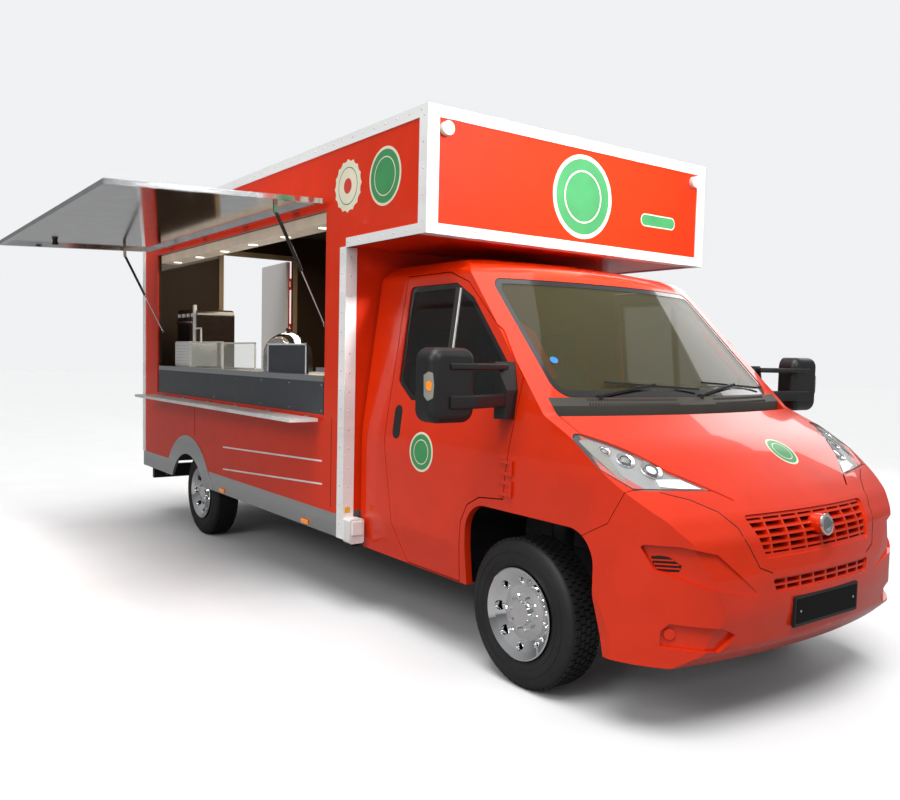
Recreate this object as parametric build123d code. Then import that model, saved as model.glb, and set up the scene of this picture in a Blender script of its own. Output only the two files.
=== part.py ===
from build123d import *
import math
import os

# A food truck: a van cab and chassis with a box body whose side opens as a serving hatch.
# The drawing frame has X forward from the front axle, Y to the left and Z up from the ground.
# Every length is in millimetres. At the end the part is moved so that its origin is the
# middle of its own footprint, on the ground.

# Running gear
wheelbase = 4100.0
tyre_radius = 365.0
tyre_width = 222.0
tyre_shoulder = 34.0
rim_radius = 208.0
rim_lip = 14.0
trim_radius = 222.0
trim_dish = 46.0
trim_wall = 12.0
trim_hole_radius = 24.0
trim_hole_circle = 158.0
trim_hole_count = 8
hub_cap_radius = 62.0
hub_cap_height = 26.0
front_track_half = 895.0
rear_track_half = 930.0
disc_offset = 62.0
hub_radius = 70.0
hub_depth = 40.0
bearing_gap = 0.3
spindle_gap = 0.05
steer_axis_y = 712.0
steer_lock = 35.0

# Cab envelope
cab_rear_x = -1425.0
cab_half_width = 1025.0
cab_sill_z = 415.0
cab_sill_half_width = 1005.0
cab_waist_low_z = 620.0
cab_waist_high_z = 1120.0
cab_cant_z = 2060.0
cab_cant_half_width = 893.0
cab_roof_edge_half_width = 800.0
cab_roof_edge_z = 2132.0
cab_roof_z = 2195.0
cab_wall = 40.0
nose_x = 975.0
nose_sweep_radius = 4000.0
header_x = -440.0
header_z = 2092.0
roof_break_x = -800.0
roof_break_z = 2168.0
screen_foot_x = 232.0
screen_foot_z = 1392.0
bonnet_rear_x = 285.0
bonnet_rear_z = 1335.0
bonnet_crown_x = 560.0
bonnet_crown_z = 1205.0
bonnet_front_x = 800.0
bonnet_front_z = 1010.0
grille_top_x = 878.0
grille_top_z = 938.0
grille_mid_x = 932.0
grille_mid_z = 850.0
intake_x = 966.0
intake_z = 680.0
bumper_mid_z = 540.0
bumper_low_x = 955.0
bumper_low_z = 385.0
bumper_lip_x = 900.0
bumper_lip_z = 325.0
nose_corner_radius = 500.0
nose_corner_proud = 4.0
side_proud = 1.0
roof_run = 700.0
roof_rise = 60.0
roof_round = 900.0
header_round = 260.0
foot_round = 90.0
crown_round = 700.0
grille_round = 150.0
nose_round = 360.0
lip_round = 70.0
sill_round = 400.0
waist_round = 1500.0
cant_round = 60.0

# The bowed nose would meet the cab's side here, and what lies on the corner follows it.
nose_set_back = nose_sweep_radius - math.sqrt(nose_sweep_radius ** 2 - cab_half_width ** 2)
corner_x = nose_x - nose_set_back

# Cab openings, doors and glass
panel_gap = 6.0
arch_rear_x = -394.0
arch_top_z = 853.0
arch_front_low_x = 560.0
arch_front_mid_x = 492.0
arch_mid_z = 575.0
arch_shoulder = 150.0
door_rear_top_x = -1145.0
door_rear_waist_x = -1175.0
door_rear_low_x = -1085.0
door_rear_waist_z = 1085.0
door_rear_low_z = 620.0
door_bottom_z = 418.0
door_bottom_rear_x = -935.0
door_front_low_x = -450.0
door_front_bend_x = -428.0
door_front_bend_z = 745.0
door_front_curve_x = -378.0
door_front_curve_z = 838.0
door_front_arch_x = -285.0
door_front_arch_z = 888.0
door_front_waist_x = -100.0
door_front_waist_z = 906.0
door_front_top_x = -34.0
door_front_top_z = 1505.0
door_top_front_x = -245.0
door_top_front_z = 1735.0
door_top_bend_x = -560.0
door_top_bend_z = 1998.0
door_top_rear_z = 2062.0
door_top_mid_x = -740.0
door_open_limit = 68.0
window_rear_x = -1100.0
window_top_z = 1996.0
window_top_mid_x = -660.0
window_top_bend_x = -500.0
window_top_bend_z = 1912.0
window_front_x = -150.0
window_front_z = 1560.0
window_sill_front_x = -168.0
window_sill_front_z = 1372.0
window_sill_z = 1345.0
window_sill_rear_x = -960.0
window_rear_low_z = 1440.0
window_corner = 34.0
glass_depth = 10.0
glass_wall = 5.0
screen_top_z = 2020.0
screen_top_half = 812.0
screen_low_z = 1412.0
screen_low_half = 868.0
screen_corner = 70.0
screen_depth = 4.0
screen_wall = 7.0
lamp_rear_back = 541.4
lamp_rear_x = corner_x - lamp_rear_back
lamp_rear_z = 1262.0
lamp_low_back = 213.4
lamp_low_x = corner_x - lamp_low_back
lamp_low_z = 1052.0
lamp_front_out = 28.6
lamp_front_x = corner_x + lamp_front_out
lamp_front_z = 1010.0
lamp_depth = 55.0
lamp_gap = 0.4
bonnet_tip_half = 462.0
bonnet_lamp_half = 700.0
bonnet_lamp_back = 231.4
bonnet_lamp_x = corner_x - bonnet_lamp_back
bonnet_side_half = 938.0
bonnet_side_back = 529.4
bonnet_side_x = corner_x - bonnet_side_back
bonnet_heel_half = 930.0
bonnet_heel_back = 666.4
bonnet_heel_x = corner_x - bonnet_heel_back
bonnet_open_limit = 45.0
bumper_gap_low_back = 489.4
bumper_gap_low_x = corner_x - bumper_gap_low_back
bumper_gap_low_z = 790.0
bumper_gap_mid_back = 286.4
bumper_gap_mid_x = corner_x - bumper_gap_mid_back
bumper_gap_mid_z = 905.0
grille_half_top = 492.0
grille_half_low = 425.0
grille_low_z = 758.0
intake_half_top = 398.0
intake_half_low = 372.0
intake_top_z = 672.0
intake_low_z = 608.0
grille_slats = 6
grille_slat = 9.0
grille_ribs = 7
grille_rib = 12.0
grille_frame = 16.0
grille_depth = 46.0
badge_radius = 46.0
badge_depth = 14.0
scoop_outer_y = 962.0
scoop_top_y = 861.0
scoop_top_z = 836.0
scoop_bend_y = 697.0
scoop_bend_z = 797.0
scoop_tip_x = 946.0
scoop_tip_y = 470.0
scoop_tip_z = 600.0
scoop_low_y = 756.0
scoop_low_z = 660.0
scoop_heel_y = 926.0
scoop_heel_z = 733.0
scoop_corner = 12.0
scoop_turn = 3.2
fog_outer_y = 905.0
fog_low_z = 416.0
fog_mid_z = 480.0
fog_top_y = 882.0
fog_top_z = 514.0
fog_bend_y = 686.0
fog_bend_z = 492.0
fog_inner_y = 602.0
fog_inner_z = 453.0
fog_foot_y = 682.0
fog_foot_z = 388.0
fog_corner = 10.0
fog_depth = 20.0

# Small cab fittings
door_hinge_out = 8.0
door_hinge_barrel = 7.0
door_hinge_pin = 3.0
door_hinge_knuckle = 36.0
door_hinge_low_z = 965.0
door_hinge_high_z = 1065.0
door_hinge_leaf = 5.0
door_hinge_foot = 24.0
handle_rear_x = -1112.0
handle_front_x = -1000.0
handle_z = 1215.0
handle_high = 195.0
handle_wide = 78.0
handle_depth = 14.0
cowl_reach = 260.0
cowl_half = 905.0
cowl_gap = 12.0
cowl_lip = 36.0
cowl_lip_drop = 26.0
cowl_wall = 32.0
bonnet_wall = 30.0
bonnet_hem = 8.0
bonnet_hem_gap = 14.0
bonnet_pin = 4.0
bonnet_pin_gap = 0.08
bonnet_pin_reach = 14.0
bonnet_hinge_inset = 16.0
bonnet_hinge_depth = 32.0
sliver_share = 0.02
grille_corner = 20.0
intake_corner = 14.0
grille_set_back = 8.0
badge_z = 868.0
badge_front_x = 948.0
mirror_inner_y = 1292.0
mirror_outer_y = 1548.0
mirror_z = 1466.0
mirror_high = 338.0
mirror_deep = 118.0
mirror_rear_x = -112.0
mirror_corner = 62.0
mirror_round = 40.0
mirror_foot_rear_x = -165.0
mirror_foot_front_x = -64.0
mirror_foot_low_z = 1302.0
mirror_foot_shoulder_z = 1440.0
mirror_foot_top_z = 1576.0
mirror_foot_top_x = -112.0
mirror_foot_y = 1088.0
mirror_foot_root_y = 1050.0
mirror_bar_round = 9.0
mirror_bar_deep = 34.0
mirror_bar_front_x = 16.0
mirror_bar_tip_y = 1446.0
mirror_low_bar_z = 1392.0
mirror_low_bar_high = 62.0
mirror_high_bar_z = 1552.0
mirror_high_bar_high = 30.0
wiper_pivot_near_y = -640.0
wiper_tip_near_y = 60.0
wiper_pivot_far_y = 60.0
wiper_tip_far_y = 770.0
wiper_pivot_drop = 20.0
wiper_pivot_radius = 14.0
wiper_off = 14.0
wiper_knee_share = 0.55
wiper_heel_share = 0.1
wiper_knee_z = 1465.0
wiper_heel_z = 1475.0
wiper_tip_z = 1440.0
wiper_arm_wide = 12.0
wiper_blade_wide = 10.0

# Inside the cab
trim_gap = 2.0
tub_wall = 14.0
tub_break_x = -548.0
tub_mid_half = 488.0
tub_shelf_z = 886.0
cab_floor_z = 630.0
firewall_x = 90.0
firewall_top_z = 1290.0
firewall_half = 900.0
step_deep = 180.0
dash_half_width = 905.0
dash_rear_x = -300.0
dash_lean = 40.0
dash_low_z = 960.0
dash_top_z = 1330.0
dash_brow_x = -60.0
dash_front_drop = 60.0
wheel_x = -560.0
wheel_y = 400.0
wheel_z = 1270.0
wheel_tilt = 52.0
wheel_radius = 195.0
wheel_grip = 14.0
wheel_spoke_wide = 46.0
wheel_boss_radius = 62.0
wheel_column_radius = 32.0
wheel_column = 400.0
seat_wide = 480.0
driver_y = 420.0
passenger_y = -400.0
seat_rear_x = -1180.0
seat_front_x = -660.0
seat_back_wall = 110.0
seat_inset = 50.0
seat_low_z = 870.0
seat_pad = 120.0
seat_lean = 90.0
seat_top_z = 1590.0
headrest_deep = 90.0
headrest_wide = 260.0
headrest_high = 190.0
engine_rear_x = 140.0
engine_front_x = 600.0
engine_half = 280.0
engine_top_z = 950.0
liner_inner_y = 502.4
liner_outer_y = 950.0
liner_reach = 505.0
liner_top_z = 872.0
liner_round = 240.0
liner_wall = 6.0
strut_hole_radius = 46.0

# Box body
box_half_width = 1140.0
box_rear_x = -5390.0
box_front_x = -1444.0
box_floor_z = 640.0
box_panel_low_z = 612.0
box_top_z = 2893.0
box_wall = 40.0
box_floor_wall = 40.0
overcab_front_x = -628.0
overcab_low_z = 2242.0
trim_wide = 70.0
trim_high = 56.0
trim_proud = 6.0
skirt_low_z = 470.0
skirt_wall = 18.0
arch_shift = 50.0
arch_centre_z = 275.0
arch_open_radius = 430.0
arch_trim_radius = 592.0
arch_trim_proud = 4.0

# Serving opening, hatch and its gas struts
opening_front_x = -1700.0
opening_rear_x = -4970.0
opening_low_z = 1212.0
opening_top_drop = 403.0
opening_top_z = box_top_z - opening_top_drop
header_drop = 70.0
header_depth = 160.0
hinge_out = 19.0
hinge_rise = 41.0
hinge_z = opening_top_z + hinge_rise
hinge_barrel = 9.0
hinge_pin = 4.5
hinge_pin_gap = 0.08
hinge_knuckle = 60.0
hinge_side_gap = 1.0
hinge_count = 4
hatch_reach = 1330.0
hatch_heel = 14.0
hatch_under = 9.0
hatch_wall = 30.0
hatch_lap = 32.0
hatch_droop = 2.4
hatch_frame = 45.0
hatch_skin = 8.0
strut_inset = 62.0
strut_foot_inset = 34.0
strut_foot_y = strut_foot_inset - box_half_width
strut_foot_drop = 751.0
strut_foot_z = hinge_z - strut_foot_drop
strut_head_reach = 300.0
strut_head_drop = 62.0
strut_tube_radius = 11.0
strut_tube_length = 392.0
strut_rod_hold = 30.0
strut_bore_top = 33.0
strut_rod_radius = 5.0
strut_rod_gap = 0.5
strut_eye_radius = 11.0
strut_eye_width = 10.0
strut_pin_radius = 4.0
strut_pin_gap = 0.08
strut_side_gap = 1.0
strut_ear_wall = 4.0

# Shelf, counter and apron
shelf_top_z = 1190.0
shelf_wall = 22.0
shelf_reach = 205.0
shelf_hinge_out = 12.0
shelf_barrel = 7.0
shelf_pin = 3.0
shelf_gap = 8.0
shelf_front_x = -1740.0
shelf_rear_x = -4950.0
back_counter_front_x = -2100.0
counter_top_z = 1460.0
counter_front_inset = 6.0
counter_front_y = counter_front_inset - box_half_width
counter_wall = 38.0
counter_depth = 560.0
counter_end_gap = 20.0

# Rear of the box
rear_door_left_y = 458.0
rear_door_right_y = -335.0
rear_door_low_z = box_floor_z
rear_door_top_drop = 293.0
rear_door_high_z = box_top_z - rear_door_top_drop
rear_door_gap = 6.0
rear_door_open = 95.0
rear_door_wall = 40.0
rear_hinge_out = 10.0
rear_hinge_barrel = 7.0
rear_hinge_pin = 3.5
rear_handle_reach = 46.0
rear_lamp_inset = 130.0
rear_lamp_y = box_half_width - rear_lamp_inset
rear_lamp_high = 230.0
rear_lamp_wide = 96.0
rear_lamp_deep = 34.0

# What stands on the counter
oven_rear_x = -4930.0
oven_front_x = -4420.0
oven_set_back = 174.0
oven_low_y = counter_front_y + oven_set_back
oven_deep = 360.0
oven_high_y = oven_low_y + oven_deep
oven_top_z = 1985.0
oven_round = 60.0
case_rear_x = -4380.0
case_front_x = -3620.0
case_set_back = 94.0
case_low_y = counter_front_y + case_set_back
case_deep = 300.0
case_high_y = case_low_y + case_deep
case_top_z = 1680.0
case_wall = 8.0
dome_x = -2900.0
dome_set_back = 334.0
dome_y = counter_front_y + dome_set_back
dome_radius = 190.0
dome_base = 110.0
board_rear_x = -2780.0
board_front_x = -2180.0
board_set_back = 134.0
board_y = counter_front_y + board_set_back
board_wall = 22.0
board_high = 200.0

# Lamps, inlet and bumper
marker_radius = 38.0
marker_inset = 112.0
marker_y = box_half_width - marker_inset
marker_drop = 110.0
marker_z = box_top_z - marker_drop
marker_deep = 30.0
rear_lamp_low_z = 700.0
inlet_deep = 80.0
inlet_wide = 100.0
inlet_high = 150.0
inlet_low_z = 452.0
inlet_round = 16.0
rear_bumper_deep = 50.0
rear_bumper_inset = 90.0
rear_bumper_half = box_half_width - rear_bumper_inset
rear_bumper_low_z = 335.0
rear_bumper_high = 130.0
tow_hole_radius = 6.5
tow_half_wide = 210.0
tow_half_high = 32.0
tow_z = 400.0
wheel_box_reach = 430.0
wheel_box_inset = 155.0
wheel_box_inner_y = rear_track_half - wheel_box_inset
wheel_box_top_z = 800.0
arch_hem = 14.0
rear_hinge_leaf = 32.0

# Wheels and suspension
tyre_bead_in = 12.0
tyre_bulge_radius = 270.0
tyre_bulge_in = 6.0
rim_wall = 8.0
bearing_bore = 30.0
disc_wall = 10.0
trim_edge = 4.0
trim_clear = 1.2
trim_lip = 6.0
nut_ring_wide = 34.0
hub_inner_y = 792.0
clamp_radius = 42.0
clamp_low_z = 330.0
clamp_high_z = 560.0
strut_radius = 26.0
spring_radius = 56.0
spring_low_z = 640.0
spring_high_z = 840.0
arm_low_z = 270.0
arm_wall = 24.0
arm_half = 150.0
axle_radius = 45.0
leaf_reach = 640.0
leaf_wall = 20.0
spring_wide = 60.0

# Chassis
rail_y = 420.0
rail_wide = 62.0
rail_high = 130.0
rail_wall = 6.0
rail_gap = 12.0
rail_front_x = 560.0
rail_rear_x = -5340.0
cross_high = 90.0
cross_deep = 70.0
cross_count = 6
cross_drop = 14.0
cross_front_x = 380.0
rail_top_z = 600.0
beam_inset = 36.0
beam_half = 320.0
beam_deep = 60.0
beam_low_z = 470.0
beam_high_z = 560.0
rail_low_z = rail_top_z - rail_high
rail_outer_y = rail_y + rail_wide / 2
rail_inner_y = rail_y - rail_wide / 2

overrun = 50.0
side_signs = (-1, 1)


def box_between(x_low, x_high, y_low, y_high, z_low, z_high):
    size = Box(x_high - x_low, y_high - y_low, z_high - z_low)
    return Pos((x_low + x_high) / 2, (y_low + y_high) / 2, (z_low + z_high) / 2) * size


def side_prism(points, y_low, y_high):
    """A solid with an outline of (x, z) points, between two Y planes."""
    face = make_face(Polyline(*points, close=True))
    return extrude(Plane.XZ.offset(-y_high) * face, amount=y_high - y_low)


def front_prism(points, x_low, x_high):
    """A solid with an outline of (y, z) points, between two X planes."""
    face = make_face(Polyline(*points, close=True))
    return extrude(Plane.YZ.offset(x_low) * face, amount=x_high - x_low)


def plan_prism(points, z_low, z_high):
    """A solid with an outline of (x, y) points, between two heights."""
    face = make_face(Polyline(*points, close=True))
    return extrude(Plane.XY.offset(z_low) * face, amount=z_high - z_low)


def drawn_in(points, gap):
    """The same closed outline with every edge moved inwards by a gap."""
    count = len(points)
    following = points[1:] + points[:1]
    area = sum(a[0] * b[1] - b[0] * a[1] for a, b in zip(points, following))
    turn = math.copysign(1, area)
    moved = []
    for place, (here, after) in enumerate(zip(points, following)):
        before = points[(place - 1) % count]
        first = math.atan2(here[1] - before[1], here[0] - before[0])
        second = math.atan2(after[1] - here[1], after[0] - here[0])
        across = 1 + math.cos(second - first)
        x = -turn * (math.sin(first) + math.sin(second)) / across
        y = turn * (math.cos(first) + math.cos(second)) / across
        moved.append((here[0] + gap * x, here[1] + gap * y))
    return moved


def both_sides(half_points):
    """Closed outline from the points of its +Y half, mirrored to the other side."""
    return list(half_points) + [(x, -y) for x, y in reversed(half_points)]


def cylinder_y(radius, x, z, y_low, y_high):
    return Pos(x, (y_low + y_high) / 2, z) * Rot(90, 0, 0) * Cylinder(radius, y_high - y_low)


def cylinder_x(radius, y, z, x_low, x_high):
    return Pos((x_low + x_high) / 2, y, z) * Rot(0, 90, 0) * Cylinder(radius, x_high - x_low)


def cylinder_z(radius, x, y, z_low, z_high):
    return Pos(x, y, (z_low + z_high) / 2) * Cylinder(radius, z_high - z_low)


def fuse(pieces):
    whole = pieces[0]
    for piece in pieces[1:]:
        whole = whole + piece
    return whole


def cab_swept_profile(inset):
    """The centre-line profile swept round a far upright axis, which bows screen, bonnet and nose."""
    low = bumper_lip_z - inset * 2
    # Columns: x, z, how far the point moves back and down for each unit of inset, corner radius.
    line = [
        (roof_break_x, roof_break_z, 0, 1, roof_round),
        (header_x, header_z, 0.5, 1, header_round),
        (screen_foot_x, screen_foot_z, 1, 1, foot_round),
        (bonnet_rear_x, bonnet_rear_z, 1, 1, foot_round),
        (bonnet_crown_x, bonnet_crown_z, 0.5, 1, crown_round),
        (bonnet_front_x, bonnet_front_z, 1, 0.5, crown_round),
        (grille_top_x, grille_top_z, 1, 0.5, grille_round),
        (grille_mid_x, grille_mid_z, 1, 0, grille_round),
        (intake_x, intake_z, 1, 0, nose_round),
        (nose_x, bumper_mid_z, 1, 0, nose_round),
        (bumper_low_x, bumper_low_z, 1, 0, lip_round),
    ]
    points = [(roof_break_x - roof_run, roof_break_z + roof_rise - inset)]
    points += [(x - back * inset, z - down * inset) for x, z, back, down, radius in line]
    points.append((bumper_lip_x - inset, low))
    skin = FilletPolyline(*points, radius=[radius for x, z, back, down, radius in line])
    rest = Polyline(points[-1], (cab_rear_x + inset, low), (cab_rear_x + inset, points[0][1]), points[0])
    axis_x = nose_x - nose_sweep_radius
    face = make_face(Curve() + skin + rest)
    half_angle = math.degrees(math.atan((cab_half_width + overrun) / (cab_rear_x - axis_x)))
    axis = Axis((axis_x, 0, 0), (0, 0, 1))
    return revolve(Plane.XZ * face, axis, half_angle * 2).rotate(axis, -half_angle)


def cab_cross_section(inset):
    """The cab seen from the front: upright sides, leaning in above the waist, and a crowned roof."""
    low = bumper_lip_z - overrun - inset
    side = [
        (cab_sill_half_width - inset, low),
        (cab_sill_half_width - inset, cab_sill_z),
        (cab_half_width - inset, cab_waist_low_z),
        (cab_half_width - inset, cab_waist_high_z),
        (cab_cant_half_width - inset, cab_cant_z),
        (cab_roof_edge_half_width, cab_roof_edge_z - inset),
    ]
    radii = [sill_round, sill_round, waist_round, cant_round]
    outline = FilletPolyline(*side, radius=radii)
    crown = ThreePointArc(side[-1], (0, cab_roof_z - inset), (-side[-1][0], side[-1][1]))
    other = FilletPolyline(*[(-y, z) for y, z in reversed(side)], radius=radii[::-1])
    base = Line((-side[0][0], low), side[0])
    face = make_face(Curve() + outline + crown + other + base)
    return extrude(Plane.YZ.offset(cab_rear_x + inset) * face, amount=nose_x - cab_rear_x)


def cab_plan_outline(inset):
    """The cab seen from above: round nose corners that run smoothly into the sides and the bowed nose."""
    half = cab_half_width + side_proud - inset
    radius = nose_corner_radius - inset
    sweep_x = nose_x - nose_sweep_radius
    centre_y = cab_half_width + side_proud - nose_corner_radius
    reach = nose_sweep_radius + nose_corner_proud - nose_corner_radius
    centre_x = sweep_x + math.sqrt(reach ** 2 - centre_y ** 2)
    turn = math.atan2(centre_y, centre_x - sweep_x)
    middle = (turn + math.pi / 2) / 2
    mid = (centre_x + radius * math.cos(middle), centre_y + radius * math.sin(middle))
    end = (centre_x + radius * math.cos(turn), centre_y + radius * math.sin(turn))
    tip_x = sweep_x + (nose_sweep_radius + nose_corner_proud - inset) / math.cos(turn)
    rear = cab_rear_x + inset
    pieces = [
        Line((rear, -half), (centre_x, -half)),
        ThreePointArc((centre_x, -half), (mid[0], -mid[1]), (end[0], -end[1])),
        Polyline((end[0], -end[1]), (tip_x, 0), end),
        ThreePointArc(end, mid, (centre_x, half)),
        Polyline((centre_x, half), (rear, half), (rear, -half)),
    ]
    low = bumper_lip_z - overrun * 3
    face = make_face(Curve() + pieces)
    return extrude(Plane.XY.offset(low) * face, amount=cab_roof_z + overrun * 2 - low)


def cab_form(inset):
    form = cab_swept_profile(inset) & cab_cross_section(inset) & cab_plan_outline(inset)
    return form.fix()


def outline_face(points, shrink=0.0, corner=0.0):
    face = make_face(Polyline(*drawn_in(points, shrink), close=True))
    return fillet(face.vertices(), corner) if corner > 0 else face


def side_zone(points, y_low, y_high, shrink=0.0, corner=0.0):
    face = outline_face(points, shrink, corner)
    return extrude(Plane.XZ.offset(-y_high) * face, amount=y_high - y_low)


def plan_zone(points, z_low, z_high, shrink=0.0):
    return extrude(Plane.XY.offset(z_low) * outline_face(points, shrink), amount=z_high - z_low)


def front_zone(points, x_low, x_high, shrink=0.0, corner=0.0):
    face = outline_face(points, shrink, corner)
    return extrude(Plane.YZ.offset(x_low) * face, amount=x_high - x_low)


def sweep_disc(x):
    """A disc about the cab's sweep axis that reaches x on the centre line."""
    axis_x = nose_x - nose_sweep_radius
    return cylinder_z(x - axis_x, axis_x, 0, bumper_lip_z, cab_roof_z + overrun)


door_points = [
    (door_bottom_rear_x, door_bottom_z),
    (door_front_low_x, door_bottom_z),
    (door_front_bend_x, door_front_bend_z),
    (door_front_curve_x, door_front_curve_z),
    (door_front_arch_x, door_front_arch_z),
    (door_front_waist_x, door_front_waist_z),
    (door_front_top_x, door_front_top_z),
    (door_top_front_x, door_top_front_z),
    (door_top_bend_x, door_top_bend_z),
    (door_top_mid_x, door_top_rear_z),
    (door_rear_top_x, door_top_rear_z),
    (door_rear_waist_x, door_rear_waist_z),
    (door_rear_low_x, door_rear_low_z),
]

window_points = [
    (window_sill_rear_x, window_sill_z),
    (window_sill_front_x, window_sill_front_z),
    (window_front_x, window_front_z),
    (window_top_bend_x, window_top_bend_z),
    (window_top_mid_x, window_top_z),
    (window_rear_x, window_top_z),
    (window_rear_x, window_rear_low_z),
]

bonnet_half_points = [
    (bonnet_front_x + overrun, bonnet_tip_half),
    (bonnet_front_x, bonnet_tip_half),
    (bonnet_lamp_x, bonnet_lamp_half),
    (bonnet_side_x, bonnet_side_half),
    (bonnet_heel_x, bonnet_heel_half),
    (bonnet_heel_x - cowl_reach, cowl_half),
]

bumper_points = [
    (bumper_gap_low_x, bumper_gap_low_z),
    (bumper_gap_mid_x, bumper_gap_mid_z),
    (lamp_low_x, lamp_low_z),
    (lamp_front_x, lamp_front_z),
    (nose_x + overrun, lamp_front_z),
    (nose_x + overrun, bumper_lip_z - overrun),
    (bumper_gap_low_x, bumper_lip_z - overrun),
]

lamp_points = [
    (lamp_rear_x, lamp_rear_z),
    (lamp_low_x, lamp_low_z),
    (lamp_front_x, lamp_front_z),
    (lamp_front_x, lamp_rear_z),
]

grille_points = [
    (-grille_half_top, grille_top_z),
    (-grille_half_low, grille_low_z),
    (grille_half_low, grille_low_z),
    (grille_half_top, grille_top_z),
]

intake_points = [
    (-intake_half_top, intake_top_z),
    (-intake_half_low, intake_low_z),
    (intake_half_low, intake_low_z),
    (intake_half_top, intake_top_z),
]

scoop_points = [
    (scoop_outer_y, scoop_top_z),
    (scoop_top_y, scoop_top_z),
    (scoop_bend_y, scoop_bend_z),
    (scoop_tip_y, scoop_tip_z),
    (scoop_low_y, scoop_low_z),
    (scoop_heel_y, scoop_heel_z),
]

fog_points = [
    (fog_outer_y, fog_mid_z),
    (fog_top_y, fog_top_z),
    (fog_bend_y, fog_bend_z),
    (fog_inner_y, fog_inner_z),
    (fog_foot_y, fog_foot_z),
    (fog_outer_y, fog_low_z),
]

screen_points = [
    (-screen_low_half, screen_low_z),
    (screen_low_half, screen_low_z),
    (screen_top_half, screen_top_z),
    (-screen_top_half, screen_top_z),
]

screen_low_x = screen_foot_x + (header_x - screen_foot_x) * (screen_low_z - screen_foot_z) / (
    header_z - screen_foot_z
)
door_hinge_x = door_front_top_x - panel_gap
door_hinge_y = cab_half_width + door_hinge_out
bonnet_hinge_x = bonnet_heel_x + bonnet_hinge_inset
bonnet_hinge_z = bonnet_rear_z - bonnet_hinge_depth


def arch_cut():
    """The front wheel arch, flat on top with big round shoulders."""
    low = bumper_lip_z - overrun
    points = [
        (arch_rear_x, low),
        (arch_rear_x, arch_top_z),
        (arch_front_mid_x, arch_top_z),
        (arch_front_mid_x, arch_mid_z),
        (arch_front_low_x, low),
    ]
    face = make_face(Polyline(*points, close=True))
    face = fillet(face.vertices().sort_by(Axis.Y)[-2:], arch_shoulder)
    reach = cab_half_width + overrun
    return extrude(Plane.XZ.offset(-reach) * face, amount=reach * 2)


def bonnet_zone(shrink):
    """The bonnet and cowl together, seen from above."""
    low = bonnet_front_z - panel_gap * 3
    return plan_zone(both_sides(bonnet_half_points), low, screen_foot_z + overrun, shrink)


def door_zone(side, shrink):
    low, high = sorted((side * cab_cant_half_width / 2, side * (cab_half_width + overrun)))
    return side_zone(door_points, low, high, shrink)


def window_zone(side):
    low, high = sorted((side * cab_cant_half_width / 2, side * (cab_half_width + overrun)))
    return side_zone(window_points, low, high, 0, window_corner)


def handle_zone(side):
    low, high = sorted((side * cab_cant_half_width / 2, side * (cab_half_width + overrun)))
    middle_x = (handle_rear_x + handle_front_x) / 2
    slot = SlotOverall(handle_high, handle_wide, rotation=90)
    return extrude(Plane.XZ.offset(-high) * Pos(middle_x, handle_z) * slot, amount=high - low)


def screen_zone():
    return front_zone(screen_points, roof_break_x, nose_x, 0, screen_corner)


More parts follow.
